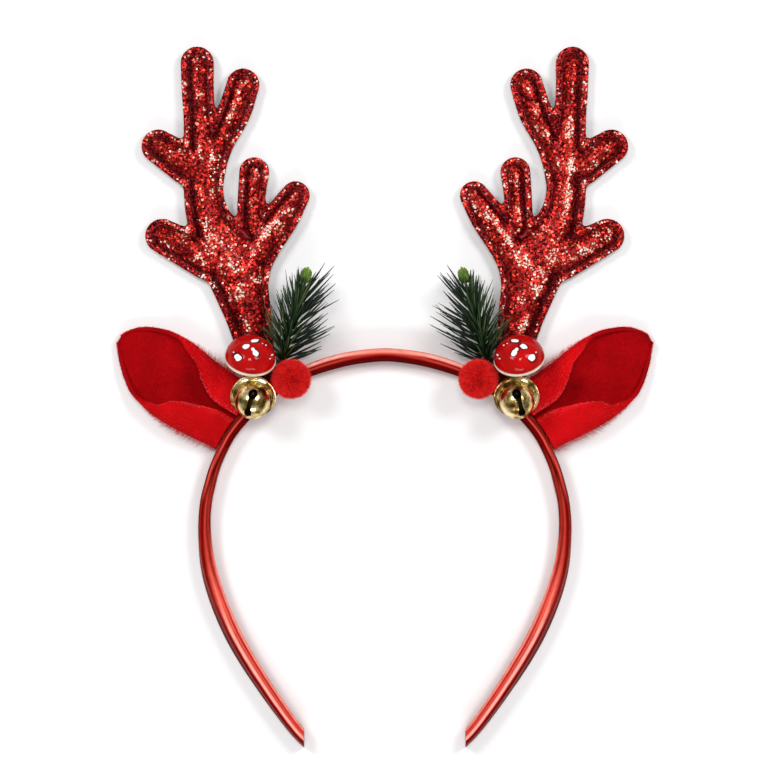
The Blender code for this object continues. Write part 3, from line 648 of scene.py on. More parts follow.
def build_flakes(side, label, seed):
    """Hexagonal flakes strewn over both faces of an antler, each with its own tilt; their tints
    are painted glints and painted shade.
    """
    points, colours, faces = [], [], []
    tints = np.array(FLAKE_TINTS_WITH_PAINTED_GLINTS)
    for face in (1, -1):
        xs, ys = antler_axes(FLAKE_STEP, FLAKE_STEP)
        spots = np.array([(x, y) for y in ys for x in xs])
        spots += rng.uniform(-0.5, 0.5, spots.shape) * FLAKE_STEP
        field = antler_distance(spots)
        spots, field = spots[field < -0.25], field[field < -0.25]
        groove = np.abs(-field - ANTLER_BORDER + 0.05) < 0.36
        spots = spots[~(groove & (rng.random(len(spots)) < 0.85))]
        shift = seed if face > 0 else seed + BACK_SEED
        rise = antler_half(spots, shift)
        slope_x, slope_y = ((antler_half(spots + way, shift) - rise) / 0.25
                            for way in ([0.25, 0.0], [0.0, 0.25]))
        count = len(spots)
        up = unit(np.column_stack([-slope_x, -slope_y, np.ones(count)]))
        # Painted highlights: patches of pale flakes on slopes leaning a little outward and on
        # slopes facing the tips; painted shade on slopes turned far outward
        stripe = held(0.45 + 1.3 * patchy(spots, 8.0, seed + 11.0))
        facing = 0.60 * stripe * np.exp(-((up[:, 0] - 0.12) / 0.13) ** 2) + 0.10 * up[:, 1]
        facing -= 0.42 * held((up[:, 0] - 0.3) / 0.15)
        # Painted shade on the flank beside the groove, strongest where slopes turn outward
        painted_flank_shade = 0.03 + 0.50 * held(0.5 + 3.0 * up[:, 0])
        lean = scatter(count)
        up = unit(up + lean * np.where(rng.random(count) < 0.7, 0.15, 0.45)[:, None])
        size = 0.28 + 0.26 * rng.random(count) ** 1.6
        height = rise + 0.06 + 0.16 * rng.random(count)
        across = unit(np.cross(up, unit(scatter(count))))
        over = np.cross(up, across)
        middle = np.column_stack([spots, ANTLER_MID_Z + face * height])
        corner = spokes(across, over, FLAKE_SIDES) * size[:, None, None]
        corner[..., 2] *= face
        corner = middle[:, None] + corner
        corner[..., 2] = np.maximum(corner[..., 2], 0.12)
        index = np.arange(count * FLAKE_SIDES).reshape(count, -1) + sum(map(len, points))
        points.append(corner.reshape(-1, 3))
        faces += (index if face > 0 else index[:, ::-1]).tolist()
        depth = -antler_distance(spots)
        # The score that picks each flake's tint: painted glint clusters, the painted highlights
        # and flank shade above, and darker towards the stalk and on the flat border
        glow = 0.42 * patchy(spots, 6.0, seed + 3.0) + 0.30 * patchy(spots, 2.2, seed + 6.0)
        glow += facing * held(depth - ANTLER_BORDER)
        glow -= painted_flank_shade * np.exp(-((depth - ANTLER_BORDER - 0.5) / 0.9) ** 2)
        glow -= 0.24 * held((42.0 - spots[:, 1]) / 14.0) + 0.05
        glow -= 0.10 * (depth < ANTLER_BORDER)
        # Painted glints: bright flakes strewn over the flat border
        painted_border_glints = (depth < ANTLER_BORDER - 0.4) & (rng.random(count) < 0.17)
        glow += np.where(painted_border_glints, 0.5, 0.0)
        lot = 0.06 + 0.84 * rng.random(count)
        pick = np.searchsorted(np.cumsum(tints[:, 0]), np.clip(lot + glow, 0.0, 0.985))
        base = tints[pick, 1:] * rng.uniform(0.75, 1.2, (count, 1))
        colours.append(np.repeat(held(base), FLAKE_SIDES, axis=0))
    flakes = sided_mesh("antler_flakes_" + label, np.vstack(points), faces, side, False)
    tint(flakes, np.vstack(colours))
    return flakes


# Painted satin colours, from painted deep shade to the palest painted highlight
SATIN_PAINTED_SHADES = {
    "black": (0.03, 0.0, 0.0),
    "deep": (0.10, 0.001, 0.001),
    "dark": (0.18, 0.001, 0.001),
    "red": (0.27, 0.012, 0.009),
    "warm": (0.36, 0.028, 0.014),
    "glow": (0.60, 0.055, 0.045),
    "coral": (0.86, 0.11, 0.07),
    "pale": (0.95, 0.28, 0.22),
    "light": (1.0, 0.44, 0.37),
}
# Painted light down the hoop: heights at which a look of painted highlight and shade stripes
# lies, then its shades over the hoop's width as seen from the front, each with its place in
# hundredths from the outer edge to the inner
HOOP_PAINTED_STRIPES = [
    ((15.6,), "0 glow 7 pale 27 pale 36 coral 43 glow 50 red 60 dark 70 deep 90 deep 100 black"),
    ((13.2, 9.0), """0 glow 5 pale 12 light 20 light 27 pale 34 warm 41 dark 49 glow 57 warm
        64 dark 73 deep 88 deep 100 black"""),
    ((-5.0, -18.0), """0 glow 8 warm 20 dark 29 dark 36 glow 43 coral 50 warm 57 dark 75 dark
        100 black"""),
    ((-28.0,), """0 deep 10 deep 19 glow 29 coral 38 red 47 deep 63 deep 75 warm 88 red
        100 deep"""),
    ((-40.0, -50.0), """0 deep 9 deep 18 warm 27 dark 38 dark 47 red 55 glow 65 warm 73 red
        82 warm 92 red 100 deep"""),
    ((-61.5,), """0 deep 10 dark 18 warm 27 dark 37 dark 45 warm 54 glow 64 glow 73 warm 83 red
        92 coral 100 pale"""),
    ((-76.5,), """0 deep 7 deep 18 warm 26 dark 36 red 45 glow 53 coral 60 pale 67 coral
        76 coral 82 glow 87 glow 94 pale 100 pale"""),
    ((-90.0,), """0 black 9 black 15 red 22 red 30 dark 39 dark 42 warm 45.5 pale 49 light
        55 light 60 pale 65 glow 69 glow 73 coral 78 glow 83 red 88 coral 92 pale 97 pale
        100 coral"""),
]
HOOP_CORNER_STEPS = 7
HOOP_FACE_STEPS = (22, 7, 5, 12)


def hoop_painted_light(shift, height, facing, up):
    """Colours round one section of the hoop: painted highlight and shade stripes where it shows
    in front, else plain.
    """
    high, low = shift.max(), shift.min()
    share = (high - shift) / (high - low)
    start = height[0]
    end = height[2 * HOOP_CORNER_STEPS + HOOP_FACE_STEPS[0] - 1]
    deep = held((start + (end - start) * share - 0.3 - height) / 1.5)
    hidden = (deep * held((0.12 - facing) / 0.1))[:, None]
    looks, levels = [], []
    for heights, words in HOOP_PAINTED_STRIPES:
        words = words.split()
        places = np.array(words[::2], float) / 100.0
        rows = np.array([SATIN_PAINTED_SHADES[shade] for shade in words[1::2]])
        look = np.column_stack([np.interp(share, places, rows[:, k]) for k in range(3)])
        looks += [look] * len(heights)
        levels += heights
    spot = np.interp(-up, -np.array(levels), np.arange(len(levels)))
    i = min(int(spot), len(looks) - 2)
    mix = looks[i] * (1 - spot + i) + looks[i + 1] * (spot - i)
    return mix * (1.0 - hidden) + np.array(SATIN_PAINTED_SHADES["warm"]) * hidden


def hoop_section(thick):
    """Rows of outward, forward, facing angle and place in the cloth round the rounded section."""
    flat = (thick / 2 - HOOP_CORNER, HOOP_DEPTH / 2 - HOOP_CORNER)
    corners = []
    for quarter, signs in enumerate(((1, 1), (-1, 1), (-1, -1), (1, -1))):
        corners.append([])
        for share in np.linspace(0.0, 1.0, HOOP_CORNER_STEPS):
            turn = radians(90 * (quarter + share))
            corners[-1].append((signs[0] * flat[0] + HOOP_CORNER * cos(turn),
                                signs[1] * flat[1] + HOOP_CORNER * sin(turn),
                                turn, (quarter + 1) % 4 + 0.10 * (share - 0.5)))
    section = []
    for quarter, steps in enumerate(HOOP_FACE_STEPS):
        section += corners[quarter]
        a0, b0, turn, _ = corners[quarter][-1]
        a1, b1 = corners[(quarter + 1) % 4][0][:2]
        section += [(a0 + (a1 - a0) * share, b0 + (b1 - b0) * share, turn,
                     (quarter + 1) % 4 + 0.05 + 0.90 * share)
                    for share in np.arange(1, steps + 1) / (steps + 1)]
    return section


def hoop_fold(run, where, arm):
    """Rise of the cloth over the smooth section at a place along and round the hoop."""
    rise = 0.10 * hum(run / 26.0, where * 9.0, 3.0)
    rise += 0.07 * hum(run / 8.0, where * 14.0, 9.0)
    wander = 0.03 * hum(run / 14.0, 0.0, 5.0)
    rise -= (0.22 + 0.30 * arm) * exp(-(((where - 1.80 - wander) / 0.055) ** 2))
    rise -= 0.12 * exp(-(((where - 1.42 - wander) / 0.07) ** 2))
    rise += 0.10 * exp(-(((where - 1.60 - wander) / 0.08) ** 2))
    notch = max(0.0, sin(run * 2.1 + 2.0 * hum(run / 5.0, 1.0, 1.0)) - 0.6)
    rise -= 0.30 * arm * notch * exp(-(((where - 1.86) / 0.05) ** 2))
    return rise


def build_hoop():
    """The satin wrapped hoop: a swept rounded section with the long folds of stretched cloth."""
    half = [tuple(row) for row in HOOP_ROWS]
    rows = [(-out, up, thick, lean) for out, up, thick, lean in reversed(half[1:])] + half
    line = even_line(smooth_line(rows, 10), 0.9)
    marks = np.array([row[3] for row in hoop_section(HOOP_DEPTH)])
    n = len(marks)
    length = np.linalg.norm(np.diff(line[:, :2], axis=0), axis=1).sum()
    last = slice(-HOOP_FACE_STEPS[3] - HOOP_CORNER_STEPS, None)
    marks[last] = held(marks[last])
    points, colours = [], []
    for i, (x, y, thick, lean) in enumerate(line):
        ahead = line[min(i + 1, len(line) - 1), :2] - line[max(i - 1, 0), :2]
        ahead = ahead / np.linalg.norm(ahead)
        tilt = radians(lean)
        flat_b = HOOP_DEPTH / 2 - HOOP_CORNER
        middle = flat_b * cos(tilt) + (thick / 2 - HOOP_CORNER) * sin(tilt) + HOOP_CORNER
        arm_share = min(1.0, max(0.0, (-44.0 - y) / 20.0))
        run = i / (len(line) - 1) * length
        ring = []
        for a, b, way, mark in hoop_section(thick):
            rise = hoop_fold(run, mark, arm_share)
            if b < -flat_b:
                rise = min(rise, 0.0) * 0.3
            reach = hypot(a, b)
            a, b = a * (1 + rise / reach), b * (1 + rise / reach)
            shift = a * cos(tilt) - b * sin(tilt)
            height = a * sin(tilt) + b * cos(tilt)
            ring.append((shift, height, sin(way + tilt)))
            points.append((x - shift * ahead[1], y + shift * ahead[0],
                           max(middle + height, 0.0)))
        # Each section's colours are painted highlights and painted shade over the red cloth
        colours.append(hoop_painted_light(*np.array(ring).T, y))
    rows_n = len(line)
    faces = bands(rows_n, n) + [tuple(range(n)), tuple(range((rows_n - 1) * n, rows_n * n))]
    hoop = new_mesh("band_satin", points, faces)
    tint(hoop, np.vstack(colours))
    layer = hoop.data.uv_layers.new(name="wrap")
    share = np.arange(rows_n) / (rows_n - 1) * length / 60.0
    corner = np.array([loop.vertex_index for loop in hoop.data.loops])
    uv = np.column_stack([share[corner // n], marks[corner % n] * 0.8])
    layer.data.foreach_set("uv", uv.ravel())
    with reshaped(hoop.data) as shape:
        for side in (-1, 1):
            low = [v for v in shape.verts if v.co.y < -0.1 and v.co.x * side > 0]
            near = set(low)
            whole = [part for kind in (shape.edges, shape.faces) for part in kind
                     if all(v in near for v in part.verts)]
            cut = bmesh.ops.bisect_plane(shape, geom=low + whole, dist=0.000001,
                                         plane_co=(side * HOOP_END_OUT * MM, 0, 0),
                                         plane_no=(-side, 0, 0), clear_outer=True)
            rim = [e for e in cut["geom_cut"] if isinstance(e, bmesh.types.BMEdge)]
            bmesh.ops.contextual_create(shape, geom=rim)
        bmesh.ops.recalc_face_normals(shape, faces=shape.faces)
    dress(hoop, "red_satin", "band", SATIN)


def prism(name, loop, low, high, side):
    """An upright block over a flat loop, used to cut."""
    n = len(loop)
    points = [(side * x, y, low) for x, y in loop] + [(side * x, y, high) for x, y in loop]
    faces = [tuple(range(n)), tuple(range(2 * n - 1, n - 1, -1))]
    faces += [(i, (i + 1) % n, n + (i + 1) % n, n + i) for i in range(n)]
    block = new_mesh(name, points, faces)
    settle(block)
    return block


def ear_section(row):
    """Across and height of the points of one row, from the lower to the upper free edge."""
    above, below, open_above, open_below, rise, turn, lift = row
    radius = rise / 2
    sweep = radians(turn)
    reach = radius * (sin(sweep) if sweep < pi / 2 else 1.0)
    half = {}
    for sign, width, opening in ((1, above, open_above), (-1, below, open_below)):
        flat_end = width - reach
        back = [(sign * flat_end * k / EAR_BACK_STEPS, lift) for k in range(EAR_BACK_STEPS + 1)]
        roll = []
        for k in range(1, EAR_ROLL_STEPS + 1):
            angle = sweep * k / EAR_ROLL_STEPS
            roll.append((sign * (flat_end + radius * sin(angle)),
                         lift + radius * (1.0 - cos(angle))))
        end = roll[-1]
        length = max(0.35, flat_end - opening) if turn > 150 else 0.35
        flap = [(end[0] + sign * cos(sweep) * length * k / EAR_FLAP_STEPS,
                 end[1] + sin(sweep) * length * k / EAR_FLAP_STEPS
                 + (0.5 * sin(pi * k / EAR_FLAP_STEPS) if length > 3 else 0.0))
                for k in range(1, EAR_FLAP_STEPS + 1)]
        half[sign] = back + roll + flap
    return half[-1][::-1] + half[1][1:]


def ear_sheet(seed):
    """The ear's middle surface as a grid of points, with soft waves in the cloth."""
    base, tip = np.array(EAR_BASE), np.array(EAR_TIP)
    along = (tip - base) / np.linalg.norm(tip - base)
    upward = np.array([-along[1], along[0]])
    grid = np.array([[(*(base + along * row[0] + upward * across), height)
                      for across, height in ear_section(row[1:])]
                     for row in smooth_line(EAR_ROWS, 5)])
    flat = grid.reshape(-1, 3)
    wave = 0.55 * patchy(flat, 11.0, seed) + 0.2 * patchy(flat, 4.5, seed + 5.0)
    lift = held((flat[:, 2] - 1.9) / 2.0)
    flat[:, 2] += wave * lift
    hollow = np.exp(-((flat[:, 2] - 1.9) / 0.8) ** 2)
    flat[:, 2] += hollow * np.maximum(0.5 * patchy(flat, 8.0, seed + 2.0), 0.0)
    return flat.reshape(grid.shape), along, upward


def keep_largest(shape):
    """Delete the loose bits that a cut leaves beside the largest one."""
    groups = []
    left = set(shape.verts)
    while left:
        group = [left.pop()]
        for vert in group:
            others = {edge.other_vert(vert) for edge in vert.link_edges} & left
            left -= others
            group += others
        groups.append(group)
    for group in sorted(groups, key=len)[:-1]:
        bmesh.ops.delete(shape, geom=group, context="VERTS")


def build_ear(side, label, seed):
    grid, along, upward = ear_sheet(seed)
    rows, count = grid.shape[:2]
    ear = new_mesh("ear_plush_" + label, side_of(grid.reshape(-1, 3), side),
                   bands(rows, count, closed=False))
    thick = ear.modifiers.new("thick", "SOLIDIFY")
    thick.thickness = EAR_THICK * MM
    thick.offset = 0.0
    settle(ear)
    line = HOOP_HALF_LINE[::2]
    ahead = unit(np.gradient(line[:, :2], axis=0))
    outward = np.column_stack([-ahead[:, 1], ahead[:, 0]])
    outer = line[:, :2] + outward * (line[:, 2:3] / 2 + GAP)
    outer = outer[(outer[:, 0] > 5.0) & (outer[:, 1] > -60.0)]
    carve(ear, prism("hoop_cut", np.vstack([outer, [(5.0, -60.0)]]), *CUT_SPAN, side))
    xs = np.arange(ANTLER_LOW[0], ANTLER_HIGH[0], 0.8)
    ys = np.arange(-8.0, 50.0, 0.8)
    value = np.where(ys[:, None] > 44.0, 1.0, antler_field(xs, ys) - 1.2 * GAP)
    grown = evened(level_lines(value, xs, ys)[0], 1.2)
    carve(ear, prism("antler_cut", grown, *CUT_SPAN, side))
    with reshaped(ear.data) as shape:
        keep_largest(shape)
        area = sum(f.calc_area() for f in shape.faces) / 2
    base = Vector(EAR_BASE) * MM
    for face in ear.data.polygons:
        run = (face.center.x * side - base.x) * along[0] + (face.center.y - base.y) * along[1]
        # Upper faces of the flaps take a brighter copy of the plush: painted light
        if face.normal.z > 0.1 and face.center.z > EAR_FLAP_Z * MM and run < EAR_FLAP_RUN * MM:
            face.material_index = 1
    dress(ear, "red_plush", "ear_" + label, PLUSH, PLUSH_FLAP_PAINTED_LIGHT)
    fur = build_fur(side, label, grid, along, upward, seed)
    dress(fur, "red_plush", None, FUR)
    width = max(np.linalg.norm(np.diff(line, axis=0), axis=1).sum() for line in grid) * MM
    length = (EAR_ROWS[-1][0] - EAR_ROWS[0][0]) * MM
    length = max(length, area / width)


def strands(name, roots, aims, lengths, widths, colours, tips, side, bend=None, flat=None):
    """Thin tapered fibres of three triangles, each bent a little on its way."""
    count = len(roots)
    aims = unit(aims)
    spare = unit(scatter(count))
    if flat is not None:
        spare = unit(flat + 0.25 * spare)
    across = unit(np.cross(aims, spare))
    if bend is None:
        bend = unit(scatter(count)) * 0.25
    middle = roots + (aims * 0.55 + bend * 0.15) * lengths[:, None]
    tip = roots + (aims * 0.95 + bend * 0.5) * lengths[:, None]
    half = across * widths[:, None] * 0.5
    points = np.stack([roots - half, roots + half, middle - half * 0.8, middle + half * 0.8,
                       tip], axis=1).reshape(-1, 3)
    points[:, 2] = np.maximum(points[:, 2], 0.08)
    start = np.arange(count) * 5
    faces = [np.stack([start + k for k in face], axis=1).tolist()
             for face in ((0, 1, 3, 2), (2, 3, 4))]
    thing = new_mesh(name, side_of(points, side), faces[0] + faces[1])
    mixed = 0.4 * tips + 0.6 * colours
    blend = np.stack([colours, colours, mixed, mixed, tips], axis=1)
    tint(thing, held(blend).reshape(-1, 3))
    return thing


def build_fur(side, label, grid, along, upward, seed):
    """Pile over the plush: long on the folds and edges by the hoop, short in the hollow."""
    rows, cols = grid.shape[:2]
    u = rng.random(FUR_HAIRS) * (rows - 1.001)
    v = rng.random(FUR_HAIRS) * (cols - 1.001)
    i, j = u.astype(int), v.astype(int)
    fu, fv = (u - i)[:, None], (v - j)[:, None]
    a, b = grid[i, j], grid[i + 1, j]
    c, d = grid[i, j + 1], grid[i + 1, j + 1]
    spot = (a * (1 - fu) + b * fu) * (1 - fv) + (c * (1 - fu) + d * fu) * fv
    area = np.linalg.norm(np.cross(b - a, c - a), axis=1)
    keep = rng.random(FUR_HAIRS) < np.clip(area / np.percentile(area, 92), 0.05, 1.0)
    spot, a, b, c, v, u = spot[keep], a[keep], b[keep], c[keep], v[keep], u[keep]
    normal = unit(np.cross(c - a, b - a))
    face = np.where(rng.random(len(spot)) < 0.5, 1.0, -1.0)
    flat = spot[:, :2] - np.array(EAR_BASE)
    run = flat @ along
    across = flat @ upward
    middle = (cols - 1) / 2
    centre = np.stack([np.interp(u, np.arange(rows), grid[:, cols // 2, k]) for k in range(3)],
                      axis=1)
    centre[:, 2] += 3.0
    outer_face = np.where(np.einsum("ij,ij->i", normal, spot - centre) > 0, 1.0, -1.0)
    outside = face == outer_face
    outward = normal * face[:, None]
    base_share = held((28.0 - run) / 14.0)
    brim = held(1.0 - 1.6 * np.abs(normal[:, 2]))
    length = np.where(outside, 0.6 + 0.35 * base_share + 2.9 * base_share * brim, 0.6)
    length = length * rng.uniform(0.6, 1.15, len(spot))
    tipward = np.array([along[0], along[1], 0.0])
    sideward = np.sign(across)[:, None] * np.array([upward[0], upward[1], 0.0])
    lean = tipward * 0.35 + sideward * np.where(outside, 0.45, -0.1)[:, None]
    aim = unit(outward * 0.6 + lean + rng.normal(0.0, 0.09, outward.shape))
    low = (spot[:, 2] < 3.0) & (aim[:, 2] < 0)
    aim[low, 2] *= 0.15
    roots = spot + outward * (EAR_THICK / 2 - 0.1)
    roots[:, 2] = np.maximum(roots[:, 2], 0.3)
    flat = roots[:, :2]
    clear = (hoop_distance(flat) > 0.32) & (antler_distance(flat) > 0.6)
    tips = roots + aim * length[:, None]
    clear &= (hoop_distance(tips[:, :2]) > 0.02) | (tips[:, 2] > 8.4)
    roots, aim, length, outside, v, across, run, outward = (
        x[clear] for x in (roots, aim, length, outside, v, across, run, outward))
    # Outer faces lighter than the faces in the hollow: painted light and painted shade
    deep = np.where(outside[:, None], (0.58, 0.008, 0.011), (0.35, 0.001, 0.003))
    pale = np.where(outside[:, None], (0.72, 0.020, 0.024), (0.44, 0.003, 0.006))
    streak = 0.26 * patchy(roots, 3.6, seed + 4.0) + 0.20 * patchy(roots, 9.0, seed + 8.0)
    shade = rng.uniform(0.95, 1.05, (len(roots), 1)) * (1.0 + streak[:, None])
    # Painted light: the upper flap lighter
    shade *= np.where(outside & (across > 0.0), 1.32, 1.0)[:, None]
    # Painted light along the foot of the roll in the hollow, lifting the shade there
    foot = np.exp(-((np.abs(v - middle) - EAR_BACK_STEPS) / 1.5) ** 2) * ~outside
    shade *= 1.0 + 0.5 * (foot * held((run - 24.0) / 6.0))[:, None]
    # Painted highlight: a light line along the flaps' free edges
    painted_fold_highlight = np.exp(-(np.minimum(v, cols - 1 - v)[:, None] / 1.1) ** 2) * outside[:, None]
    deep = deep * (1 - painted_fold_highlight) + np.array([1.0, 0.080, 0.085]) * painted_fold_highlight
    pale = pale * (1 - painted_fold_highlight) + np.array([1.0, 0.130, 0.135]) * painted_fold_highlight
    return strands("ear_fur_" + label, roots, aim, length,
                   np.clip(0.15 - 0.04 * length, 0.08, 0.12), held(deep * shade),
                   held(pale * shade), side, tipward * 0.5, outward)


def lathe(name, profile, steps):
    """A body turned about Z from rows of radius and height, top to bottom."""
    angle = np.arange(steps) * tau / steps
    inner = profile[1:-1]
    points = [(0.0, 0.0, profile[0][1])]
    points += [(radius * cos(t), radius * sin(t), height)
               for radius, height in inner for t in angle]
    points.append((0.0, 0.0, profile[-1][1]))
    faces = [(0, 1 + k, 1 + (k + 1) % steps) for k in range(steps)]
    faces += [(1 + a, 1 + d, 1 + c, 1 + b) for a, b, c, d in bands(len(inner), steps)]
    last = len(points) - 1
    foot = last - steps
    faces += [(foot + k, last, foot + (k + 1) % steps) for k in range(steps)]
    thing = new_mesh(name, points, faces)
    settle(thing)
    return thing


def stand(thing, at, axis, side, spin=0.0):
    """Place a body made about Z at a spot, Z along a direction and Y as far up as it can be."""
    ahead = Vector((axis[0] * side, axis[1], axis[2])).normalized()
    across = Vector((0.0, 1.0, 0.0)).cross(ahead).normalized()
    frame_of = Matrix((across, ahead.cross(across), ahead)).transposed().to_4x4()
    turn = frame_of @ Matrix.Rotation(spin * side, 4, "Z")
    thing.data.transform(Matrix.Translation(Vector((at[0] * side, at[1], at[2])) * MM) @ turn)


def build_mushroom(side, label):
    share = np.linspace(0.0, pi / 2, 26)
    dome = [(CAP_RADIUS * sin(t) ** 0.96, CAP_FOOT + (CAP_TALL - CAP_FOOT) * cos(t))
            for t in share]
    lip = [(CAP_RADIUS - 0.02, 0.7), (CAP_RADIUS - 0.2, 0.5), (CAP_RADIUS - 0.7, 0.42),
           (CAP_RADIUS - 2.0, 0.42)]
    cap = lathe("mushroom_dome_" + label, dome + lip + [(0.0, 0.42)], 96)
    for vert in cap.data.vertices:
        spot = vert.co / MM
        swell = 0.16 * noise.noise(spot * 0.16 + Vector((side * 3.0, 1.0, 2.0)))
        vert.co += vert.co.normalized() * swell * MM
    stand(cap, CAP_AT, CAP_AXIS, side)
    dress(cap, "red_gloss", "mushroom_cap_" + label, LACQUER)
    rim = [(0.0, 0.3), (8.9, 0.3), (9.3, 0.2), (9.5, -0.02), (9.5, -0.3), (9.35, -0.55),
           (9.0, -0.72), (8.4, -0.75), (3.6, -0.8), (2.8, -1.4), (2.6, -2.8), (0.0, -2.8)]
    line = smooth_line(rim, 4)
    line[:, 0] = np.maximum(line[:, 0], 0.0)
    gills = lathe("mushroom_rim_" + label, [tuple(p) for p in line], 96)
    for vert in gills.data.vertices:
        spot = vert.co / MM
        radius = hypot(spot.x, spot.y)
        if 3.8 < radius < 8.2 and spot.z < -0.6:
            turn = atan2(spot.y, spot.x)
            vert.co.z += 0.25 * abs(sin(turn * 24)) * MM
    stand(gills, CAP_AT, CAP_AXIS, side)
    dress(gills, "cream", "mushroom_gills_" + label, CREAM)
    dress(build_dabs(side, label), "cream", None, PAINT)


def build_dabs(side, label):
    """White paint dabs that lie on the dome, slightly raised, each ringed by a painted shadow."""
    middle = np.array(CAP_AT)
    axis = unit(np.array(CAP_AXIS))
    points, faces, colours = [], [], []
    shares = (0.0, 0.35, 0.62, 0.8, 0.86, 1.05, 1.25)
    squash = (CAP_TALL - CAP_FOOT) / CAP_RADIUS
    edge = CAP_RADIUS * 0.985
    for across, up, long_half, short_half, turn in CAP_DABS:
        turn = radians(turn)
        wobble = rng.uniform(-0.06, 0.06, 4)
        start = len(points)
        for r, size in enumerate(shares):
            for k in range(DAB_SIDES):
                angle = tau * k / DAB_SIDES
                reach = 1 + sum(w * sin((q + 2) * angle + q) for q, w in enumerate(wobble))
                part = size * reach
                du = long_half * part * cos(angle)
                dv = short_half * part * sin(angle)
                x = across - (du * cos(turn) - dv * sin(turn))
                y = up + du * sin(turn) + dv * cos(turn)
                flat = hypot(x, y)
                if flat > edge:
                    x, y = x * edge / flat, y * edge / flat
                ray = np.array([x, y, sqrt(CAP_RADIUS ** 2 - x * x - y * y)])
                tall = ray @ axis
                wide = ray - tall * axis
                on = wide + axis * (CAP_FOOT + max(tall, 0.0) * squash)
                raised = 0.24 * sqrt(max(0.0, 1.0 - size ** 2)) + 0.03
                points.append(middle + on + unit(on) * raised)
                # The outer rings take the painted shadow colour
                colours.append(DAB_WHITE if r < DAB_WHITE_RINGS else DAB_PAINTED_SHADOW)
        faces += [tuple(i + start for i in f) for f in bands(len(shares), DAB_SIDES)]
    dabs = new_mesh("mushroom_dabs_" + label, side_of(points, side), faces)
    tint(dabs, colours)
    return dabs


def bell_profile(inset, steps):
    """Front dome, rim and back bowl of the bell, moved inwards by the inset."""
    dome = BELL_DOME - inset
    wide, deep = BELL_BOWL[0] - inset, BELL_BOWL[1] - inset
    quarter = np.linspace(0.0, pi / 2, steps + 1)
    rows = [(dome * sin(t), BELL_DOME_AHEAD + dome * cos(t)) for t in quarter]
    rows += BELL_RIM if inset == 0.0 else [(dome, 2.0)]
    rows += [(wide * cos(t), -0.9 - (deep - 0.9) * sin(t)) for t in quarter]
    rows[0] = (0.0, rows[0][1])
    rows[-1] = (0.0, rows[-1][1])
    return rows


def build_bell(side, label):
    bell = lathe("bell_shell_" + label, bell_profile(0.0, 20), 96)
    stand(bell, BELL_AT, BELL_AXIS, side)
    middle = np.array(BELL_AT) + unit(np.array(BELL_AXIS)) * BELL_DOME_AHEAD
    rows = even_line(smooth_line(SLOT_ROWS, 3), 0.25)
    outline = [(right, along) for along, _, right in rows]
    outline += [(left, along) for along, left, _ in rows[::-1]]
    slot = prism("slot", [(x * side, y) for x, y in outline], 2.6, BELL_DOME + 2.0, 1)
    stand(slot, middle, SLOT_AXIS, side, spin=radians(SLOT_SPIN))
    carve(bell, slot)
    hollow = lathe("hollow", bell_profile(BELL_WALL, 14), 72)
    stand(hollow, BELL_AT, BELL_AXIS, side, spin=0.02)
    carve(bell, hollow)
    bell.data.set_sharp_from_angle(angle=radians(38.0))
    axis = Vector((BELL_AXIS[0] * side, BELL_AXIS[1], BELL_AXIS[2])).normalized()
    heart = Vector((BELL_AT[0] * side, BELL_AT[1], BELL_AT[2])) * MM + axis * MM
    for face in bell.data.polygons:
        off = face.center - heart
        ahead = off.dot(axis) / MM
        wide = (off / MM - axis * ahead).length
        rim = wide > 6.25 and -2.0 < ahead < 1.6
        # Inner faces away from the rim take near-black brass: painted shade inside the shell
        if face.normal.dot(off.normalized()) < -0.25 and not rim:
            face.material_index = 1
    dress(bell, "pale_gold", "bell_" + label, GOLD_PAINTED_REFLECTIONS, BELL_INSIDE_PAINTED_SHADE)
    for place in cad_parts["bell_pellet_" + label].material_slots:
        place.material = STEEL


def build_pompom(side, label):
    shape = bmesh.new()
    bmesh.ops.create_icosphere(shape, subdivisions=5, radius=POMPOM_CORE)
    points = np.array([tuple(v.co) for v in shape.verts])
    faces = [tuple(v.index for v in f.verts) for f in shape.faces]
    shape.free()
    middle = np.array(POMPOM_AT)
    bumps = 1.0 + 0.05 * patchy(points, 1.6, side * 5.0) + 0.04 * patchy(points, 4.0, 2.0)
    core = sided_mesh("pompom_core_" + label, middle + points * bumps[:, None], faces, side)
    dress(core, "red_fuzz", "pompom_" + label, FUZZ_CORE)
    count = POMPOM_FIBRES
    k = np.arange(count)
    height = 1 - 2 * (k + 0.5) / count
    around = k * pi * (3 - sqrt(5))
    flat = np.sqrt(1 - height ** 2)
    out = np.column_stack([flat * np.cos(around), flat * np.sin(around), height])
    out = unit(out + rng.normal(0.0, 0.02, out.shape))
    clump = patchy(out * 10.0, 2.2, side * 9.0)
    length = POMPOM_REACH - POMPOM_CORE + 0.25 + 0.3 * clump + rng.uniform(-0.35, 0.3, count)
    aims = unit(out + rng.normal(0.0, 0.55, out.shape))
    knot = patchy(out * 10.0, 1.3, side * 4.0)
    shade = rng.uniform(0.8, 1.15, (count, 1)) * (1.05 + 0.4 * clump + 0.35 * knot)[:, None]
    fuzz = strands("pompom_fuzz_" + label, middle + out * (POMPOM_CORE - 0.3), aims, length,
                   np.full(count, 0.16), held(np.array([(0.85, 0.006, 0.008)]) * shade),
                   held(np.array([(1.0, 0.045, 0.040)]) * shade), side)
    dress(fuzz, "red_fuzz", None, FUZZ)


def tube(line, radii, sides):
    """Points and faces of a closed round body along a line."""
    line = np.asarray(line, float)
    ahead = unit(np.gradient(line, axis=0))
    across = unit(np.cross(ahead, np.array([0.02, 0.03, 1.0])))
    over = np.cross(across, ahead)
    rings = line[:, None] + radii[:, None, None] * spokes(across, over, sides)
    last = (len(line) - 1) * sides
    return rings.reshape(-1, 3), bands(len(line), sides) + [
        tuple(reversed(range(sides))), tuple(range(last, last + sides))]


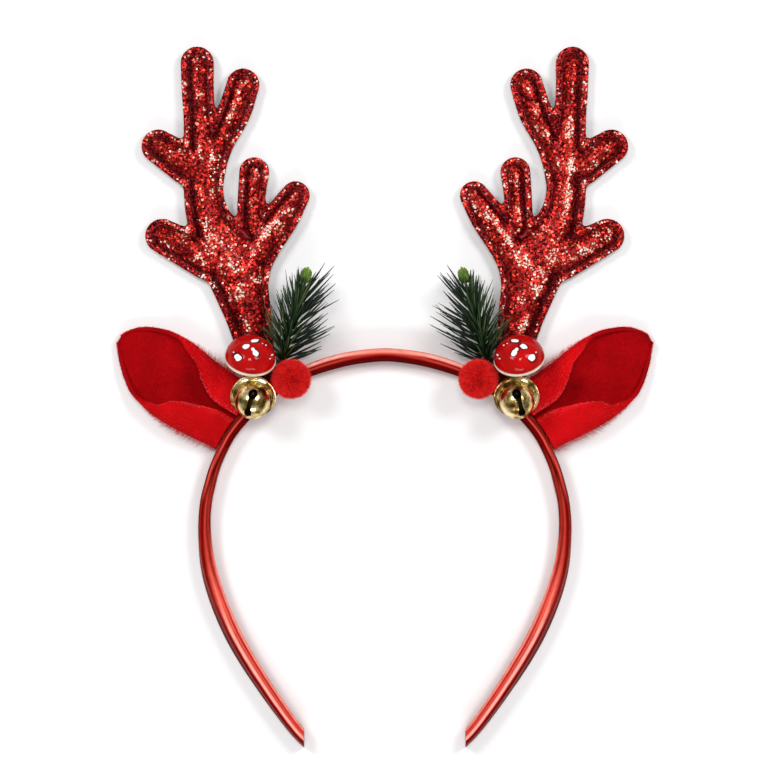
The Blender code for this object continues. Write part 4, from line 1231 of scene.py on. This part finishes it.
class Tubes:
    """Tubes gathered into one mesh, each shaded from its root to its end."""

    def __init__(self):
        self.points, self.faces, self.colours = [], [], []

    def add(self, line, radii, sides, root, end):
        points, faces = tube(line, radii, sides)
        start = sum(map(len, self.points))
        self.points.append(points)
        self.faces += [tuple(i + start for i in f) for f in faces]
        mix = np.repeat(np.linspace(0.0, 1.0, len(line)), sides)[:, None]
        self.colours.append(np.array([root]) * (1 - mix) + np.array([end]) * mix)

    def mesh(self, name, side):
        thing = sided_mesh(name, np.vstack(self.points), self.faces, side)
        tint(thing, held(np.vstack(self.colours)))
        return thing


STEM_LINE = even_line(smooth_line(STEM_ROWS, 8), 0.8, flat=False)


def stem_at(share):
    spot = share * (len(STEM_LINE) - 1)
    i = min(int(spot), len(STEM_LINE) - 2)
    a, b = STEM_LINE[i], STEM_LINE[i + 1]
    return a + (b - a) * (spot - i), unit(b - a)


def needle_shape(share, turn):
    """Opening from the stem in degrees and length of a needle at a share of the stem."""
    inward = 0.5 + 0.5 * cos(turn)
    places, *columns = np.array(NEEDLE_ROWS).T
    a, b, c, d = (np.interp(share, places, column) for column in columns)
    length = c * inward + d * (1.0 - inward)
    return a * inward + b * (1.0 - inward), length * (1.0 - 0.25 * abs(sin(turn)))


def needle_clear(points):
    """Whether a needle's points keep off the mushroom, pompom, bud and antler."""
    room = 0.6
    axis = unit(np.array(BUD_AXIS))
    off = points - BUD_AT
    along = off @ axis
    wide = np.linalg.norm(off - along[:, None] * axis, axis=1)
    bud = (along / BUD_ROOM[0]) ** 2 + (wide / BUD_ROOM[1]) ** 2 > 1.0
    cap = np.linalg.norm(points - CAP_AT, axis=1) > CAP_ROOM + room
    ball = np.linalg.norm(points - POMPOM_AT, axis=1) > POMPOM_REACH + 0.2
    high = points[:, 2] > ANTLER_MID_Z + ANTLER_EDGE_HALF + ANTLER_PAD + room
    off_antler = antler_distance(points[:, :2]) > room
    return bool(np.all(bud & cap & ball & (high | off_antler)))


def build_sprig(side, label):
    tubes = Tubes()
    radii = np.full(len(STEM_LINE), STEM_RADIUS)
    radii[-4:] *= (0.95, 0.85, 0.7, 0.5)
    tubes.add(STEM_LINE, radii, 8, (0.035, 0.022, 0.008), (0.03, 0.07, 0.02))
    low, high = NEEDLE_FAN
    for k in range(NEEDLES):
        share = 0.12 + 0.86 * (k + 0.5) / NEEDLES
        turn = radians(low + (high - low) * ((k * 0.618 + 0.1) % 1.0))
        spot, ahead = stem_at(share)
        across = unit(np.cross([0.0, 0.0, 1.0], ahead))
        inward = across if across[0] < 0 else -across
        over = np.cross(ahead, across)
        over = over if over[2] > 0 else -over
        spread = inward * cos(turn) + over * sin(turn) * NEEDLE_FLATTEN
        opening, length = needle_shape(share, turn)
        opening = radians(opening + rng.normal(0.0, 4.0))
        length = length * rng.uniform(0.74, 1.04)
        loose = cos(turn) > 0.35 and share < 0.9
        if loose and rng.random() < LOOSE_LEFT_OUT:
            continue
        aim = unit(ahead * cos(opening) + spread * sin(opening))
        drift = ahead * rng.uniform(0.02, 0.24) + rng.normal(0.0, 0.05, 3)
        steps = np.linspace(0.0, 1.0, 6)[:, None]
        for _ in range(24):
            line = spot + (aim * steps + drift * steps * steps) * length
            line[:, 2] = np.maximum(line[:, 2], 0.7)
            if length < NEEDLE_LEAST or needle_clear(line[2:]):
                break
            length -= 0.7
        if length < NEEDLE_LEAST:
            continue
        thick = 0.38 if loose else 0.31
        radii = thick * np.array([0.8, 1.0, 1.0, 0.9, 0.65, 0.2]) * rng.uniform(0.8, 1.25)
        dark = np.array([0.004, 0.014, 0.005]) * rng.uniform(0.7, 1.6)
        light = np.array([0.012, 0.034, 0.012]) * rng.uniform(0.6, 1.7) * (0.4 if loose else 1.0)
        # A quarter of the inner needles end in light olive: painted highlights among the dark
        # needles
        if rng.random() < 0.26 and not loose:
            light = np.array([0.085, 0.125, 0.035])
        tubes.add(line, radii, 5, dark, light)
    for k in range(9):
        spot, ahead = stem_at(0.05 + 0.012 * k)
        turn = radians(-40 + 30 * k)
        aim = np.array([-cos(turn) * 0.8, 0.25, sin(turn) * 0.5 + 0.2])
        line = np.array([spot + unit(aim) * s * rng.uniform(3.5, 6.5) for s in (0, 0.35, 0.7, 1)])
        line[:, 2] = np.maximum(line[:, 2], 0.7)
        tubes.add(line, np.array([0.3, 0.3, 0.26, 0.12]), 5, (0.02, 0.014, 0.008),
                  (0.05, 0.02, 0.016))
    dress(tubes.mesh("sprig_needles_" + label, side), "pine_green", "sprig_" + label, PINE)


def build_bud(side, label):
    """A tight bud of overlapping soft scales round a small heart."""
    tubes = Tubes()
    axis = unit(np.array(BUD_AXIS))
    across = unit(np.cross(axis, [0.0, 0.0, 1.0]))
    over = np.cross(across, axis)
    middle = np.array(BUD_AT)
    steps = np.linspace(0.0, 1.0, 6)
    heart = np.array([middle + axis * (s * 6.4 - 3.3) for s in steps])
    tubes.add(heart, np.array([0.7, 1.25, 1.45, 1.3, 0.9, 0.25]), 6, (0.03, 0.08, 0.01),
              (0.20, 0.34, 0.03))
    for k in range(BUD_SCALES):
        turn = k * 2.4
        level = k / BUD_SCALES
        out = across * cos(turn) + over * sin(turn)
        root = middle + axis * (-3.2 + 3.4 * level) + out * 0.7
        length = 3.6 - 1.0 * level
        bow = 1.5 * (1.0 - 0.3 * level)
        line = np.array([root + axis * length * s + out * bow * sin(pi * min(s, 0.9))
                         * 0.75 for s in steps])
        bright = rng.uniform(0.7, 1.2)
        tubes.add(line, 0.56 * np.array([0.6, 1.0, 1.0, 0.85, 0.6, 0.2]), 6,
                  np.array((0.03, 0.08, 0.008)) * bright, np.array((0.22, 0.36, 0.04)) * bright)
    dress(tubes.mesh("sprig_bud_scales_" + label, side), "bud_green", "sprig_bud_" + label, BUD)


# Camera, light and floor


def build_stage():
    camera = bpy.data.objects.new("camera", bpy.data.cameras.new("camera"))
    camera.data.sensor_width = SENSOR
    camera.data.lens = CAMERA_RISE / (FRAME_PIXELS * PIXEL) * SENSOR
    camera.data.clip_start = 0.05
    camera.data.clip_end = 20.0
    camera.location = (CAMERA_AT[0] * MM, CAMERA_AT[1] * MM, (CAMERA_FOCUS_Z + CAMERA_RISE) * MM)
    bpy.context.scene.collection.objects.link(camera)
    bpy.context.scene.camera = camera
    # Soft boxes: name, place in metres, size across and down, power, colour
    for name, place, size, power, colour in (
            ("key_left", (-0.62, 0.45, 0.95), (0.35, 0.35), 5.2, (1.0, 0.98, 0.97)),
            ("key_right", (0.62, 0.45, 0.95), (0.35, 0.35), 5.2, (1.0, 0.98, 0.97)),
            ("low", (0.0, -0.95, 0.75), (0.8, 0.25), 4.6, (1.0, 0.99, 0.98)),
            ("top", (0.0, 0.30, 1.45), (0.25, 0.25), 4.6, (1.0, 1.0, 1.0))):
        light = bpy.data.lights.new(name, "AREA")
        light.shape = "RECTANGLE"
        light.size, light.size_y = size
        light.energy, light.color = power, colour
        lamp = bpy.data.objects.new(name, light)
        lamp.location = place
        lamp.rotation_mode = "QUATERNION"
        lamp.rotation_quaternion = (-Vector(place)).to_track_quat("-Z", "Y")
        bpy.context.scene.collection.objects.link(lamp)
    world = bpy.data.worlds.new("surround")
    world.use_nodes = True
    sky = world.node_tree.nodes["Background"]
    sky.inputs["Color"].default_value = (0.92, 0.95, 1.0, 1.0)
    sky.inputs["Strength"].default_value = 0.3
    bpy.context.scene.world = world
    floor = new_mesh("floor", [(x * FLOOR_HALF, y * FLOOR_HALF, -0.1) for x, y in (
        (-1, -1), (1, -1), (1, 1), (-1, 1))], [(0, 1, 2, 3)])
    floor.data.materials.append(finish(
        "floor_pale", (0.93, 0.93, 0.93),
        (12.0, [(0.3, (0.915, 0.915, 0.915)), (0.7, (0.94, 0.94, 0.94))]), Roughness=0.6))
    bpy.context.scene.view_settings.view_transform = "Standard"


SATIN = satin_material()
GLITTER_BASE = glitter_base_material()
FLAKES = flake_material()
PLUSH = plush_material("red_plush", 1.0)
# A brighter copy of the plush for the flaps' upper faces: painted light
PLUSH_FLAP_PAINTED_LIGHT = plush_material("red_plush_flap_painted_light", 1.36)
FUR = fibre_material("plush_pile", 0.03)
FUZZ = fibre_material("pompom_fibre", 0.08)
FUZZ_CORE = plush_material("pompom_heart", 1.7)
LACQUER = finish("red_lacquer", (0.5, 0.002, 0.002),
                 (160.0, [(0.3, (0.36, 0.001, 0.001)), (0.7, (0.56, 0.002, 0.002))]),
                 bumps=[(260.0, 2.0, 0.12, 0.12)], Roughness=0.7, Specular_IOR_Level=0.03,
                 Coat_Weight=0.45, Coat_Roughness=0.1, Coat_IOR=1.4)
PAINT = finish("white_paint", (0.9, 0.88, 0.84), bumps=[(700.0, 2.0, 0.2, 0.08)],
               Roughness=0.5, Specular_IOR_Level=0.1)
CREAM = finish("cream_rim", (0.85, 0.74, 0.58),
               (260.0, [(0.3, (0.74, 0.58, 0.42)), (0.55, (0.88, 0.80, 0.66)),
                        (0.8, (0.93, 0.88, 0.78))]),
               bumps=[(900.0, 2.0, 0.2, 0.1)], Roughness=0.42, Coat_Weight=0.3,
               Subsurface_Weight=0.1, Subsurface_Scale=0.001)
# The gold's mottle, from near-black brown to pale cream, is painted reflections
GOLD_PAINTED_REFLECTIONS = finish("pale_gold", (0.83, 0.66, 0.33),
              (240.0, [(0.36, (0.12, 0.06, 0.015)), (0.45, (0.38, 0.26, 0.07)),
                       (0.53, (0.80, 0.60, 0.26)), (0.68, (0.96, 0.84, 0.52))]),
              (300.0, 0.14, 0.32), [(260.0, 2.0, 0.55, 0.7), (1500.0, 2.0, 0.05, 0.05)], 2.0,
              Metallic=1.0, Roughness=0.2)
# Near-black brass for the bell's inside: painted shade
BELL_INSIDE_PAINTED_SHADE = finish("bell_inside_painted_shade", (0.06, 0.035, 0.012),
              (500.0, [(0.3, (0.02, 0.01, 0.004)), (0.7, (0.10, 0.06, 0.02))]),
              Metallic=0.6, Roughness=0.7)
STEEL = finish("dull_steel", (0.42, 0.40, 0.38),
               (500.0, [(0.3, (0.25, 0.23, 0.22)), (0.7, (0.5, 0.49, 0.47))]),
               Metallic=1.0, Roughness=0.35)
PINE = finish("pine_green", (0.012, 0.05, 0.022), bumps=[(1400.0, 2.0, 0.2, 0.08)],
              Roughness=0.45, Specular_IOR_Level=0.3)
BUD = fibre_material("bud_scales", 0.3)

build_stage()
build_hoop()
for SIDE, LABEL, SEED in ((-1, "left", 11.0), (1, "right", 29.0)):
    build_antler(SIDE, LABEL, SEED)
    build_ear(SIDE, LABEL, SEED)
    build_mushroom(SIDE, LABEL)
    build_bell(SIDE, LABEL)
    build_pompom(SIDE, LABEL)
    build_sprig(SIDE, LABEL)
    build_bud(SIDE, LABEL)
